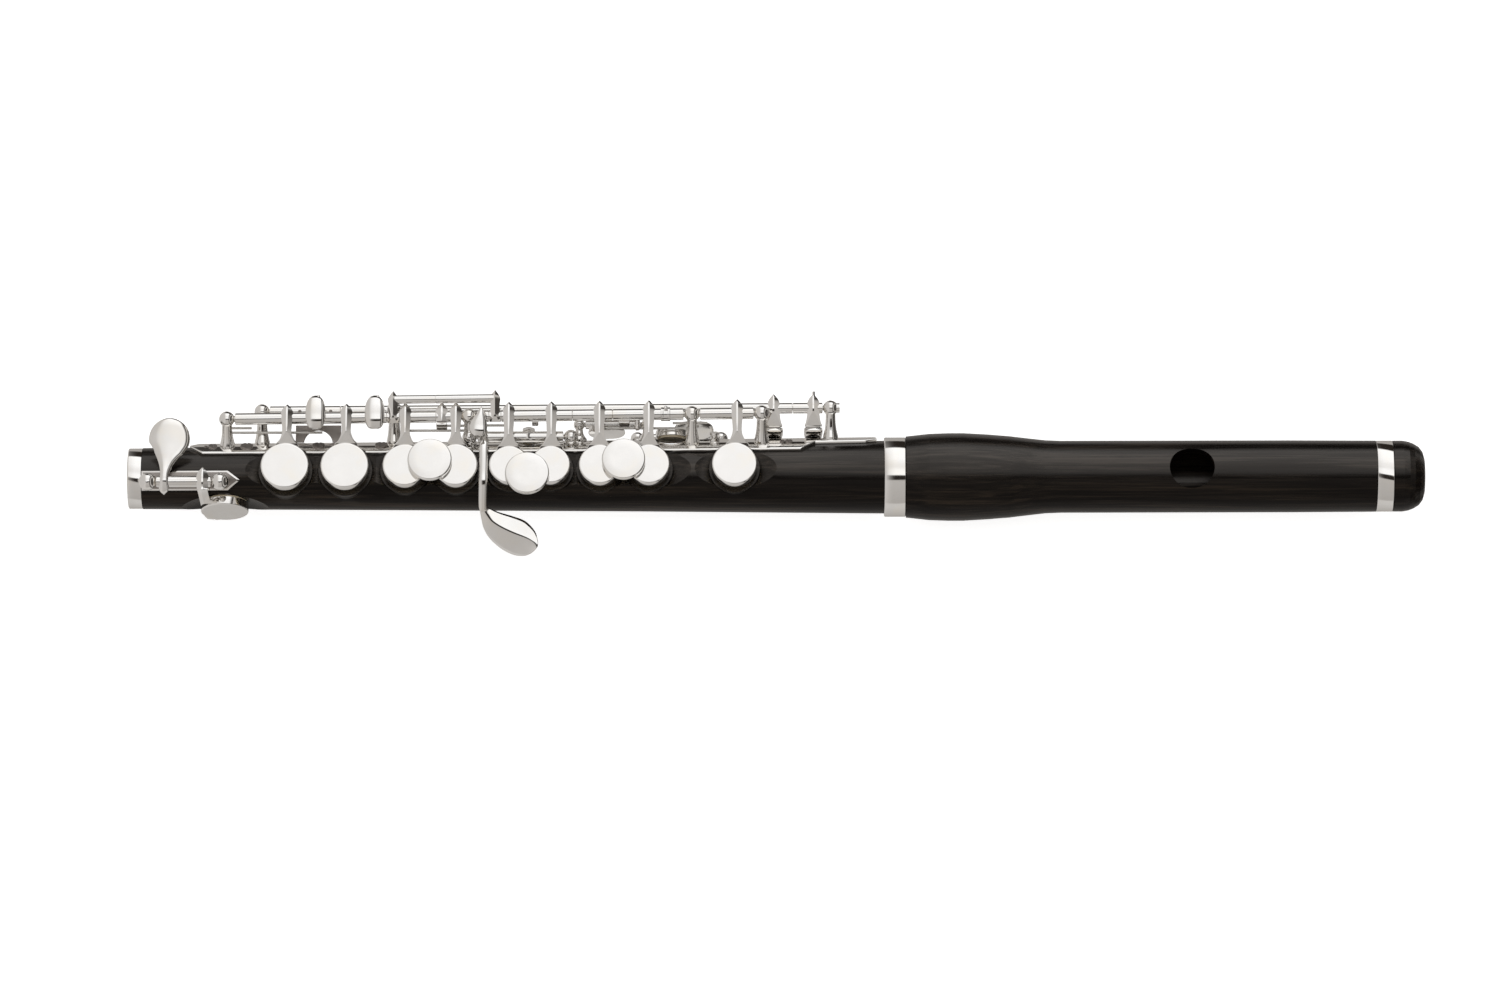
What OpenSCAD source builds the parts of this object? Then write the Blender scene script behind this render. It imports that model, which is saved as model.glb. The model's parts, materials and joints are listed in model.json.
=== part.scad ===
// Grenadilla piccolo with silver keys: body, head joint and a full Boehm mechanism.
// X runs along the bore from the foot end to the crown, Z up through the tone-hole row,
// and Y towards the key rods. Angles round the body are taken from +Z towards +Y.

/* [Body] */
// Length of the body from the foot end to the tenon shoulder
body_len = 188.7; // [186:0.1:191]
// Outer radius of the wood at the foot
foot_r = 7.65; // [7.5:0.01:7.8]
// Outer radius of the wood at the tenon shoulder
shoulder_r = 9.12; // [9:0.01:9.3]
// Length of the foot ring
foot_ring_len = 3.6; // [3:0.1:5]
// Length of the cylindrical stretch of bore at the foot
foot_bore_len = 14; // [10:0.5:15]
// Radius of the bore at the foot
foot_bore_r = 4.4; // [4.2:0.05:4.5]
// Radius of the bore in the tenon and the head
head_bore_r = 5.5; // [5.3:0.05:5.6]
// Length of the tenon
tenon_len = 23.3; // [20:0.1:24]

/* [Tone holes] */
// Places of the nine holes of the top row, from the foot: D E F F# G G A B-flat C
row_x = [39.5, 54.4, 69.35, 82, 95.3, 105.6, 117.9, 130.1, 151.4]; // [39:0.05:152]
// Radii of the nine cups of the top row
row_cup_r = [6, 6, 5.5, 5.5, 4.95, 4.95, 5.2, 5.2, 5.6]; // [4.9:0.05:6]
// Distance from the axis to a tone-hole seat, below the radius of the wood
seat_drop = 0.6; // [0.4:0.05:0.8]
// Depth of the dished cut round a tone hole
dish_depth = 1.8; // [1:0.1:2]
// Reach of the dished cut from the middle of its hole
dish_reach = 10.2; // [9.5:0.1:10.8]
// Width of the seat boss beyond the cup
boss_margin = 0.7; // [0.3:0.05:0.7]

/* [Keys] */
// Outer radius of the key tubes on the main rod
tube_r = 1.46; // [1.4:0.01:1.5]
// Radius of the steel rods in the tubes
steel_r = 0.8; // [0.7:0.05:0.9]
// Height of a key cup without its pad
cup_h = 2.2; // [2:0.1:2.3]
// Height of the pad below the rim of its cup
pad_out = 0.5; // [0.4:0.05:0.6]
// Angle that a finger key stands open at rest
open_angle = 6.5; // [5:0.5:7]
// Width of a key arm
arm_w = 2.9; // [2.6:0.1:3]
// Thickness of the raised finger discs
touch_h = 1.6; // [1.4:0.1:1.8]

/* [Posts] */
// Radius of the ball of a post on the main rod
ball_r = 1.95; // [1.9:0.05:2]
// Radius of the flange of a post
flange_r = 1.9; // [1.7:0.1:1.9]
// Thickness of the rib strap that carries the posts
strap_t = 0.9; // [0.8:0.05:1]

/* [Head joint] */
// Length of the ring on the socket
socket_ring_len = 5.5; // [5:0.1:6]
// Largest radius of the swelling over the socket
swell_r = 10.97; // [10.8:0.01:11.2]
// Outer radius of the straight part of the head
head_r = 9; // [8.9:0.01:9.1]
// Place of the middle of the embouchure hole
embouchure_x = 265.4; // [260:0.1:270]
// Length of the embouchure hole along the head
embouchure_len = 11.2; // [10.5:0.1:12]
// Width of the embouchure hole across the head
embouchure_w = 10.1; // [9.5:0.1:10.4]
// Overall length of the instrument
overall_len = 323.75; // [322:0.05:325]

/* [Hidden] */

round_fn = 96;
small_fn = 32;
// Gaps: between turning parts, under a post on tapered wood, between touching parts, in a press fit
run = 0.03;
taper_gap = 0.04;
touch_gap = 0.02;
press = 0.01;
through = 40;
WOOD = "#1c1918";
SILVER = "#c9c6c0";
STEEL = "#8f8d8a";
PAD = "#d9c9a3";
CORK = "#a9825a";

// Seats, holes and cups
function wood_r(x) = lookup(x, [[0, foot_r], [80, 8.15], [130, 8.5], [body_len, shoulder_r]]);
// A hole: [place along the bore, angle round the body, cup radius, distance of its seat from the axis,
// radius of its boss]
row_holes = [
    for (i = [0 : len(row_x) - 1])
        [row_x[i], 0, row_cup_r[i], wood_r(row_x[i]) - seat_drop, row_cup_r[i] + boss_margin]
];
trill_angle = 118;
d_sharp_hole = [24.1, -86, 5.95, 6.35, 5.3];
g_sharp_hole = [100, 82, 4, wood_r(100) - seat_drop, 4.4];
thumb_hole = [135.6, 78, 3.9, wood_r(135.6) - seat_drop, 4.3];
trill_d_hole = [161.2, trill_angle, 3.2, wood_r(161.2) - seat_drop, 3.6];
trill_d_sharp_hole = [171.1, trill_angle, 3.2, wood_r(171.1) - seat_drop, 3.6];
side_holes = [d_sharp_hole, g_sharp_hole, thumb_hole, trill_d_hole, trill_d_sharp_hole];
all_holes = concat(row_holes, side_holes);
hole_share = 0.6;
cup_wall = 0.35;
cup_top = 0.5;
d_sharp_cup_h = cup_h - 0.1;
small_cup_h = 1.9;
stem_h = 0.35;
stem_r = 1.5;

// Hinge lines: [point at the foot end, point at the other end]
main_line = [[24.84, 12.7, 9.3], [158.2, 13.7, 10.3]];
trill_line = [[33.4, 15.6, 6], [175.4, 16.1, 6.6]];
d_sharp_line = [[5.4, -3.86, 10.6], [23.4, -3.86, 10.6]];
g_sharp_line = [[85.3, 8.5, 7.3], [110.6, 8.5, 7.3]];
thumb_line = [[127, 12, -6.4], [148, 12, -6.4]];
thumb_b_flat_line = [[112.6, 12.6, 4], [129.4, 12.6, 4]];
trill_tube_r = 1.35;
d_sharp_tube_r = 1.45;
g_sharp_tube_r = 1.4;
thumb_tube_r = 1.2;
thumb_b_flat_tube_r = 1.1;
g_sharp_ball_r = 1.8;
d_sharp_ball_r = 2.2;
d_sharp_plate_t = 0.54;
small_steel_r = 0.6;
trill_ball_r = 1.9;
trill_eye_r = 2.15;
thumb_ball_r = 1.7;
thumb_b_flat_ball_r = 1.4;
flare_steps = 7;
flare_power = 2.6;
thumb_open = 9;

main_post_x = [24.84, 85.2, 140.8, 158.2];
trill_mid_x = 66.4;
strap_start = 15.5;
strap_end = 186.9;
strap_angles = [31, 56, 82];
screw_angle = 50;
screw_x = [20.7, 29.7, 47.6, 63.3, 164.3];
screw_head_r = 1.6;
screw_thread_r = 0.55;
screw_depth = 2;
screw_head_h = 0.75;
slot_w = 0.36;

// Raised bridge tube and its offset from the main rod
bridge_r = 1.07;
bridge_rise = [0, 4.2, 1.3];

// Head joint
head_start = body_len + socket_ring_len;
socket_r = 8.22;
socket_end = body_len + tenon_len + 1.5;
liner_r = 7.5;
crown_ring_start = 311.6;
crown_ring_end = 315.8;
crown_r = 8.87;
crown_tip_bore = 321.5;
ring_seat = 1.2;
stopper_face = embouchure_x + 8;
stopper_r = 1.9;

// Needle springs: [place of the post, place of the tip, depth below the rod]
spring_r = 0.3;
springs = [
    [24.84, 31, 2.4], [24.84, 48.6, 3.6], [85.2, 78.5, 2.4], [85.2, 69.5, 3.6], [85.2, 94.6, 2.4],
    [140.8, 136, 2.4], [140.8, 119.5, 3.6], [140.8, 144.6, 2.4]
];

// Geometry of lines and directions
function along(line, x) = line[0] + (line[1] - line[0]) * (x - line[0][0]) / (line[1][0] - line[0][0]);
function heading(line) = (line[1] - line[0]) / norm(line[1] - line[0]);
function around(angle, r) = [r * sin(angle), r * cos(angle)];
function angle_of(p) = atan2(p[1], p[2]);
function off_axis(p) = norm([p[1], p[2]]);
// A [radius, height] point on a trumpet flare, from low at t = 0 to high at t = 1
function flare(t, low, high) = [
    high[0] + (low[0] - high[0]) * pow(1 - t, flare_power), low[1] + (high[1] - low[1]) * t
];
// A [y, z] point at a height over an angle round the body, moved sideways towards +Z by side
function beside(angle, height, side) = [
    height * sin(angle) - side * cos(angle), height * cos(angle) + side * sin(angle)
];

// Revolves an outline of [radius, x] points about the bore axis
module turned(points) {
    rotate([0, 90, 0])
        rotate_extrude($fn = round_fn)
            polygon(points);
}

// Turns its children so that their +Z points outwards at an angle round the body
module facing(angle, x = 0) {
    translate([x, 0, 0])
        rotate([-angle, 0, 0])
            children();
}

// Swings its children about a hinge line
module swung(line, angle) {
    translate(line[0])
        rotate(a = angle, v = heading(line))
            translate(-line[0])
                children();
}

// A round bar that follows a hinge line between two places along the bore
module bar(line, x0, x1, r) {
    u = heading(line);
    translate(along(line, x0))
        rotate([0, -asin(u[2]), atan2(u[1], u[0])])
            rotate([0, 90, 0])
                cylinder(h = (x1 - x0) / u[0], r = r, $fn = round_fn);
}

// A flat plate cut from a side outline of [y, z] points
module side_plate(x, w, points) {
    translate([x - w / 2, 0, 0])
        rotate([90, 0, 90])
            linear_extrude(w)
                polygon(points);
}

// A screwed post with a ball on a hinge line, flared down to a round surface of radius base_r
module post(line, x, r, base_r) {
    p = along(line, x);
    reach = off_axis(p);
    foot = base_r + 0.4;
    neck = reach - r * 0.7;
    waist = r * 0.64;
    facing(angle_of(p), x) {
        translate([0, 0, reach])
            sphere(r = r, $fn = round_fn);
        difference() {
            rotate_extrude($fn = round_fn)
                polygon(concat(
                    [[0, base_r - 0.6], [flange_r, base_r - 0.6]],
                    [for (i = [0 : flare_steps]) flare(i / flare_steps, [flange_r, foot], [waist, neck])],
                    [[0, neck]]
                ));
            translate([-flange_r * 2, 0, 0])
                rotate([0, 90, 0])
                    cylinder(h = flange_r * 4, r = base_r + taper_gap, $fn = round_fn);
        }
    }
}

// A closed cup without its cavity, and the cavity that holds the pad
module cup(hole, h) {
    facing(hole[1], hole[0])
        translate([0, 0, hole[3] + pad_out])
            cylinder(h = h, r = hole[2], $fn = round_fn);
}

module cup_cavity(hole, h) {
    facing(hole[1], hole[0])
        translate([0, 0, hole[3] - 1])
            cylinder(h = 1 + pad_out + h - cup_top, r = hole[2] - cup_wall, $fn = round_fn);
}

module pad(hole, h) {
    color(PAD)
        facing(hole[1], hole[0])
            translate([0, 0, hole[3] + touch_gap])
                cylinder(
                    h = pad_out + h - cup_top - touch_gap, r = hole[2] - cup_wall - touch_gap, $fn = round_fn
                );
}

// The arm of a top-row key: pointed over its tube and flared where it meets the cup
module row_arm(hole, x) {
    p = along(main_line, x);
    tip = p[1] + tube_r + 1.2;
    edge = hole[2];
    lid = hole[3] + pad_out + cup_h;
    half = arm_w / 2;
    intersection() {
        side_plate(x, 3 * arm_w, [
            [tip, p[2] + 0.7], [p[1] + 0.2, p[2] + tube_r + 0.5], [edge - 1, lid - 0.1],
            [edge - 1, lid - 1.2], [p[1] - 1.2, p[2] - 0.3], [tip, p[2] + 0.2]
        ]);
        translate([x, 0, 0])
            linear_extrude(through)
                polygon([
                    [0, tip], [half, tip - 1.9], [half, edge + 3], [half + 1.2, edge - 1],
                    [-half - 1.2, edge - 1], [-half, edge + 3], [-half, tip - 1.9]
                ]);
    }
}

// One finger key of the top row, drawn closed and swung open about the main rod
module row_key(hole, arm_x, x0, x1, spring) {
    color(SILVER)
        swung(main_line, -open_angle)
            difference() {
                union() {
                    bar(main_line, x0, x1, tube_r);
                    row_arm(hole, arm_x);
                    cup(hole, cup_h);
                    spring_catch(spring);
                }
                cup_cavity(hole, cup_h);
                bar(main_line, x0 - 1, x1 + 1, steel_r + run);
            }
}

module row_pad(hole) {
    swung(main_line, -open_angle)
        pad(hole, cup_h);
}

// The pin below a tube that the tip of its needle spring bears on
module spring_catch(s) {
    inset = s[1] > s[0] ? -0.4 : 0.4;
    p = along(main_line, s[1] + inset);
    facing(angle_of(p), p[0])
        translate([0, -0.8, off_axis(p) - s[2] - 0.4])
            cylinder(h = s[2] - 0.4, r = 0.3, $fn = small_fn);
}

// A finger disc that stands over two cups on a short stem, swung open with its key
module finger_disc(disc_x, disc_y, r, stem_x, stem_y, hole) {
    lid = hole[3] + pad_out + cup_h;
    color(SILVER)
        swung(main_line, -open_angle)
            translate([0, 0, lid + 0.01]) {
                translate([disc_x, disc_y, stem_h])
                    cylinder(h = touch_h, r = r, $fn = round_fn);
                translate([stem_x, stem_y, 0])
                    cylinder(h = stem_h + 0.15, r = stem_r, $fn = round_fn);
            }
}

// Body and fixed parts
module body_wood() {
    bottom = 3;
    color(WOOD)
        difference() {
            union() {
                difference() {
                    turned([
                        [0, 0], [foot_r - ring_seat, 0], [foot_r - ring_seat, foot_ring_len],
                        [foot_r, foot_ring_len],
                        [wood_r(80), 80], [wood_r(130), 130], [shoulder_r, body_len], [7, body_len],
                        [7, body_len + tenon_len], [0, body_len + tenon_len]
                    ]);
                    for (hole = all_holes)
                        dish(hole);
                }
                for (hole = all_holes)
                    facing(hole[1], hole[0])
                        translate([0, 0, bottom])
                            cylinder(h = hole[3] - bottom, r = hole[4], $fn = round_fn);
            }
            turned([
                [0, -1], [foot_bore_r, -1], [foot_bore_r, foot_bore_len], [head_bore_r, body_len],
                [head_bore_r, body_len + tenon_len + 1], [0, body_len + tenon_len + 1]
            ]);
            for (hole = all_holes)
                facing(hole[1], hole[0])
                    cylinder(h = through, r = hole[2] * hole_share, $fn = round_fn);
            for (x = screw_x)
                facing(screw_angle, x)
                    translate([0, 0, wood_r(x) - screw_depth - 0.2])
                        cylinder(h = through, r = screw_thread_r + 0.02, $fn = small_fn);
        }
}

// The shallow round dish that clears the wood round a tone hole
module dish(hole) {
    top = min(wood_r(hole[0]), hole[3] + 1.2);
    ball = (dish_reach * dish_reach + dish_depth * dish_depth) / (2 * dish_depth);
    facing(hole[1], hole[0])
        translate([0, 0, top - dish_depth + ball])
            sphere(r = ball, $fn = round_fn);
}

module foot_ring() {
    color(SILVER)
        turned([
            [foot_r - ring_seat + press, 0], [foot_r - 0.3, 0], [foot_r - 0.1, 0.2],
            [foot_r - 0.1, foot_ring_len - 0.05], [foot_r - ring_seat + press, foot_ring_len - 0.05]
        ]);
}

module tenon_cork() {
    cork_start = body_len + 2.5;
    cork_end = body_len + tenon_len - 2;
    color(CORK)
        turned([
            [7.01, cork_start], [7.3, cork_start], [7.45, cork_start + 1], [7.45, cork_end - 1],
            [7.3, cork_end], [7.01, cork_end]
        ]);
}

module rib_strap() {
    low = wood_r(strap_start) + press;
    high = wood_r(strap_end) + press;
    color(SILVER)
        difference() {
            intersection() {
                turned([
                    [low, strap_start], [low + strap_t, strap_start], [wood_r(80) + strap_t, 80],
                    [wood_r(130) + strap_t, 130], [high + strap_t, strap_end], [high, strap_end],
                    [wood_r(130) + press, 130], [wood_r(80) + press, 80]
                ]);
                side_plate(0, 2 * overall_len, [
                    [0, 0], for (angle = strap_angles) around(angle, through)
                ]);
                linear_extrude(through)
                    polygon([
                        [strap_start, 6.9], [18.8, 4], [167.4, 4.4], [171.6, 7.6], [184, 7.9],
                        [strap_end, 8.5], [184, through], [20, through], [18, 8.4]
                    ]);
            }
            for (hole = all_holes)
                facing(hole[1], hole[0])
                    cylinder(h = through, r = hole[4] + 0.15, $fn = round_fn);
            for (x = screw_x)
                facing(screw_angle, x) {
                    cylinder(h = through, r = screw_thread_r + 0.05, $fn = small_fn);
                    translate([0, 0, wood_r(x) + 0.3])
                        cylinder(h = through, r = screw_head_r + 0.03, $fn = small_fn);
                }
        }
}

module strap_screws() {
    color(SILVER)
        for (x = screw_x)
            facing(screw_angle, x)
                difference() {
                    union() {
                        translate([0, 0, wood_r(x) - screw_depth])
                            cylinder(h = screw_depth + 0.5, r = screw_thread_r, $fn = small_fn);
                        translate([0, 0, wood_r(x) + 0.32])
                            cylinder(h = screw_head_h, r = screw_head_r, $fn = small_fn);
                    }
                    translate([-slot_w / 2, -2, wood_r(x) + 0.75])
                        cube([slot_w, 4, 1]);
                }
}

module main_posts() {
    color(SILVER)
        difference() {
            union() {
                for (x = main_post_x)
                    post(main_line, x, ball_r, wood_r(x) + strap_t);
                translate(g_sharp_line[0])
                    sphere(r = g_sharp_ball_r, $fn = round_fn);
            }
            bar(g_sharp_line, g_sharp_line[0][0] - 0.9, 88, small_steel_r + press);
            bar(main_line, main_post_x[0] - ball_r + 0.8, main_post_x[1], steel_r + press);
            bar(main_line, main_post_x[1], main_post_x[2] + 0.02, steel_r + run);
            bar(main_line, main_post_x[2] + 0.02, main_post_x[3] + 1, steel_r + press);
            spring_bars(spring_r + 0.02, 2);
        }
}

module trill_posts() {
    ends = [trill_line[0][0], trill_line[1][0]];
    color(SILVER)
        difference() {
            union() {
                for (x = ends)
                    post(trill_line, x, trill_ball_r, wood_r(x) + strap_t);
                post(trill_line, trill_mid_x, trill_eye_r, wood_r(trill_mid_x) + strap_t);
                bar(trill_line, ends[1] + 1, ends[1] + 2.3, 1.2);
            }
            bar(trill_line, trill_mid_x - 4, trill_mid_x + 4, trill_tube_r + run);
            bar(trill_line, ends[0] - 0.6, ends[1] + 1, small_steel_r + run);
        }
}

module d_sharp_posts() {
    color(SILVER)
        difference() {
            union() {
                for (p = d_sharp_line)
                    post(d_sharp_line, p[0], d_sharp_ball_r, wood_r(p[0]) + d_sharp_plate_t - 0.1);
                d_sharp_plate();
            }
            bar(d_sharp_line, 4.4, 24.4, small_steel_r + press);
        }
}

// The long curved plate under both D sharp posts, square at the ring and pointed towards the crown
module d_sharp_plate() {
    start = foot_ring_len + 0.1;
    tip = 28.2;
    middle = -2.7;
    half = 2.3;
    low = 0.03;
    intersection() {
        turned([
            [wood_r(start) + low, start], [wood_r(start) + d_sharp_plate_t, start],
            [wood_r(tip) + d_sharp_plate_t, tip], [wood_r(tip) + low, tip]
        ]);
        linear_extrude(through)
            polygon([
                [start, middle - half], [tip - 3, middle - half], [tip, middle], [tip - 3, middle + half],
                [start, middle + half]
            ]);
    }
}

module g_sharp_post() {
    color(SILVER)
        difference() {
            post(g_sharp_line, g_sharp_line[1][0], g_sharp_ball_r, wood_r(g_sharp_line[1][0]) + strap_t);
            bar(g_sharp_line, 108, 111.4, small_steel_r + press);
        }
}

module thumb_posts() {
    color(SILVER)
        difference() {
            union() {
                for (p = thumb_line)
                    post(thumb_line, p[0], thumb_ball_r, wood_r(p[0]) + touch_gap);
                for (p = thumb_b_flat_line)
                    post(thumb_b_flat_line, p[0], thumb_b_flat_ball_r, wood_r(p[0]) + strap_t);
            }
            bar(thumb_line, 126.2, 148.8, small_steel_r + press);
            bar(thumb_b_flat_line, 112, 130, small_steel_r + press);
        }
}

// Steel rods that the tubes turn on
module steel_bar(line, x0, x1, r) {
    color(STEEL)
        bar(line, x0, x1, r);
}

module right_hand_steel() {
    steel_bar(main_line, main_post_x[0] - ball_r + 0.85, main_post_x[1] - 0.05, steel_r);
}

module left_hand_steel() {
    steel_bar(main_line, main_post_x[1] + 0.05, main_post_x[2] - 0.05, steel_r);
}

module c_key_steel() {
    steel_bar(main_line, main_post_x[2] + 0.05, main_post_x[3] + 0.95, steel_r);
}

module trill_steel() {
    steel_bar(trill_line, trill_line[0][0] - 0.5, trill_line[1][0] + 0.9, small_steel_r);
}

module d_sharp_steel() {
    steel_bar(d_sharp_line, 4.45, 24.35, small_steel_r);
}

module g_sharp_steel() {
    steel_bar(g_sharp_line, 84.65, 111.35, small_steel_r);
}

module thumb_steel() {
    steel_bar(thumb_line, 126.25, 148.75, small_steel_r);
}

module thumb_b_flat_steel() {
    steel_bar(thumb_b_flat_line, 112.05, 129.95, small_steel_r);
}

// Needle springs set in the main posts, each run parallel to the main rod
module spring_bars(radius, extra) {
    for (s = springs) {
        low = min(s[0], s[1]) - (s[1] > s[0] ? 0.9 + extra : 0);
        high = max(s[0], s[1]) + (s[1] > s[0] ? 0 : 0.9 + extra);
        p = along(main_line, low);
        translate([low, p[1], p[2]] * (1 - s[2] / off_axis(p)) + [low * s[2] / off_axis(p), 0, 0])
            rotate([0, 90, 0])
                cylinder(h = high - low, r = radius, $fn = small_fn);
    }
}

module needle_springs() {
    color(STEEL)
        spring_bars(spring_r, 0);
}

// A stop plate on the back edge of the strap, arched over its foot
module trill_stop_plate() {
    x0 = 41.7;
    x1 = 53;
    middle = (x0 + x1) / 2;
    base = wood_r(x1) + strap_t + run;
    color(SILVER)
        difference() {
            translate([x0, 6, 1.9])
                cube([x1 - x0, 7, 0.8]);
            turned([[0, x0 - 1], [base, x0 - 1], [base, x1 + 1], [0, x1 + 1]]);
            translate([middle, 8.2, 0])
                cylinder(h = through, r = 3.6, $fn = round_fn);
        }
}

// A turned pillar with a stop screw, on the strap between the C cup and its post
module stop_pillar() {
    x = 146.4;
    base = wood_r(x) + strap_t;
    color(SILVER)
        facing(60, x)
            difference() {
                rotate_extrude($fn = round_fn)
                    polygon([
                        [0, base - 0.5], [1.3, base - 0.5], [1.3, base + 0.6], [0.8, base + 0.9],
                        [0.8, base + 1.3], [1.15, base + 1.5], [1.15, base + 2], [0, base + 2]
                    ]);
                translate([-4, 0, 0])
                    rotate([0, 90, 0])
                        cylinder(h = 8, r = base + 0.02, $fn = round_fn);
            }
}

// Keys of the top row
module d_key() {
    row_key(hole = row_holes[0], arm_x = 39.9, x0 = 26.95, x1 = 46.9, spring = springs[0]);
}

module d_pad() {
    row_pad(row_holes[0]);
}

module e_key() {
    row_key(hole = row_holes[1], arm_x = 54.7, x0 = 47, x1 = 64.7, spring = springs[1]);
}

module e_pad() {
    row_pad(row_holes[1]);
}

module f_key() {
    row_key(hole = row_holes[2], arm_x = 69.4, x0 = 68, x1 = 77, spring = springs[3]);
}

module f_touch() {
    finger_disc(disc_x = 75.65, disc_y = 0.75, r = 5.5, stem_x = 72.6, stem_y = 0, hole = row_holes[2]);
}

module f_pad() {
    row_pad(row_holes[2]);
}

module f_sharp_key() {
    row_key(hole = row_holes[3], arm_x = 82, x0 = 77.1, x1 = 83.15, spring = springs[2]);
}

module f_sharp_pad() {
    row_pad(row_holes[3]);
}

module g_key() {
    low = row_holes[4];
    high = row_holes[5];
    color(SILVER)
        swung(main_line, -open_angle)
            difference() {
                union() {
                    bar(main_line, 93.3, 111, tube_r);
                    row_arm(low, 95.2);
                    row_arm(high, 105.8);
                    cup(low, cup_h);
                    cup(high, cup_h);
                    spring_catch(springs[4]);
                }
                cup_cavity(low, cup_h);
                cup_cavity(high, cup_h);
                bar(main_line, 92, 112, steel_r + run);
            }
}

module g_touch() {
    finger_disc(disc_x = 99.9, disc_y = -3, r = 5.5, stem_x = 97.4, stem_y = -1.6, hole = row_holes[5]);
}

module g_pads() {
    row_pad(row_holes[4]);
    row_pad(row_holes[5]);
}

module a_key() {
    row_key(hole = row_holes[6], arm_x = 117.8, x0 = 111.1, x1 = 121, spring = springs[6]);
}

module a_touch() {
    finger_disc(disc_x = 123.85, disc_y = 0.65, r = 5.4, stem_x = 120.6, stem_y = 0, hole = row_holes[7]);
}

module a_pad() {
    row_pad(row_holes[6]);
}

module b_flat_key() {
    row_key(hole = row_holes[7], arm_x = 130.1, x0 = 121.1, x1 = 138.7, spring = springs[5]);
}

module b_flat_pad() {
    row_pad(row_holes[7]);
}

module c_key() {
    row_key(hole = row_holes[8], arm_x = 152.1, x0 = 142.85, x1 = 156.15, spring = springs[7]);
}

module c_pad() {
    row_pad(row_holes[8]);
}

// The raised tube that carries the B-flat motion past the middle post
module b_flat_bridge() {
    feet = [[64.8, 67.9], [90.3, 93.2]];
    color(SILVER)
        difference() {
            union() {
                translate(bridge_rise)
                    bar(main_line, feet[0][0] + 0.6, feet[1][1] - 0.6, bridge_r);
                for (foot = feet) {
                    bar(main_line, foot[0], foot[1], tube_r);
                    bridge_foot((foot[0] + foot[1]) / 2);
                }
            }
            bar(main_line, 64, 94, steel_r + run);
        }
}

module bridge_foot(x) {
    p = along(main_line, x);
    q = p + bridge_rise;
    side_plate(x, 2.4, [
        [p[1] - 0.9, p[2] + 1.5], [q[1] - 0.2, q[2] + 1.3], [q[1] + 1.3, q[2] + 0.5],
        [q[1] + 0.6, q[2] - 1.2], [p[1] + 0.9, p[2] - 0.7]
    ]);
}

module b_flat_lever() {
    x = 88.7;
    p = along(main_line, x);
    color(SILVER)
        difference() {
            union() {
                bar(main_line, 87.25, 90.2, tube_r);
                side_plate(x, 2, [
                    [p[1] + 1.6, p[2] + 2.3], [p[1] - 1.4, p[2] + 2.8], [p[1] - 1.4, p[2] + 1],
                    [p[1] + 1, p[2] + 0.8]
                ]);
                translate([87.5, 9.9, 12])
                    rotate([-4, 0, 0])
                        linear_extrude(1)
                            hull() {
                                circle(r = 2.3, $fn = small_fn);
                                translate([0, 4.7])
                                    circle(r = 0.4, $fn = small_fn);
                            }
            }
            bar(main_line, 86, 91, steel_r + run);
        }
}

// Side keys
module d_sharp_key() {
    hole = d_sharp_hole;
    arm_x = 19.2;
    neck_x = 10.3;
    touch_x = 11.35;
    color(SILVER)
        difference() {
            union() {
                bar(d_sharp_line, 7.65, 21.15, d_sharp_tube_r);
                cup(hole, d_sharp_cup_h);
                side_plate(arm_x, 3, [
                    [-2.2, 11.7], [-3.9, 12.5], [-7.6, 11], [-9.3, 8.2], [-9.6, 3], [-7.6, 3], [-7.7, 7.6],
                    [-6.4, 9.6], [-3.8, 10]
                ]);
                side_plate(neck_x, 2.2, [
                    [-5.6, 11.2], [-4, 12.3], [2, 11.9], [4, 11.2], [4, 10.2], [-3.8, 10.2]
                ]);
                translate([touch_x, 0, 10.2])
                    linear_extrude(1.1)
                        hull() {
                            translate([0, 7.9])
                                circle(r = 5.1, $fn = small_fn);
                            translate([-0.9, 1])
                                circle(r = 1.2, $fn = small_fn);
                        }
            }
            cup_cavity(hole, d_sharp_cup_h);
            bar(d_sharp_line, 7, 22, small_steel_r + run);
        }
}

module d_sharp_pad() {
    pad(d_sharp_hole, d_sharp_cup_h);
}

module g_sharp_key() {
    hole = g_sharp_hole;
    lever_x = 88.95;
    tilt = 24;
    color(SILVER)
        difference() {
            union() {
                bar(g_sharp_line, 87.4, 108.7, g_sharp_tube_r);
                cup(hole, small_cup_h);
                side_plate(hole[0], 2.6, [[8.2, 6.9], [10.2, 6.6], [11.2, 3.4], [9.7, 3.4], [9, 5.4]]);
                side_plate(lever_x, 2.1, [
                    [9.5, 7.6], [8.8, 8.9], [6, 10.9], [0, 11.2], [-6, 10.3], [-10.6, 8.2], [-10.2, 7.2],
                    [-6, 9.2], [0, 10.1], [5.6, 9.8], [7.6, 6.9]
                ]);
                translate([0, -10.2, 7.4])
                    rotate([tilt, 0, 0])
                        linear_extrude(1)
                            hull() {
                                translate([lever_x, 0.8])
                                    circle(r = 1.05, $fn = small_fn);
                                translate([97.2, -7])
                                    circle(r = 4.9, $fn = small_fn);
                            }
            }
            cup_cavity(hole, small_cup_h);
            bar(g_sharp_line, 86, 110, small_steel_r + run);
        }
}

module g_sharp_pad() {
    pad(g_sharp_hole, small_cup_h);
}

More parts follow.
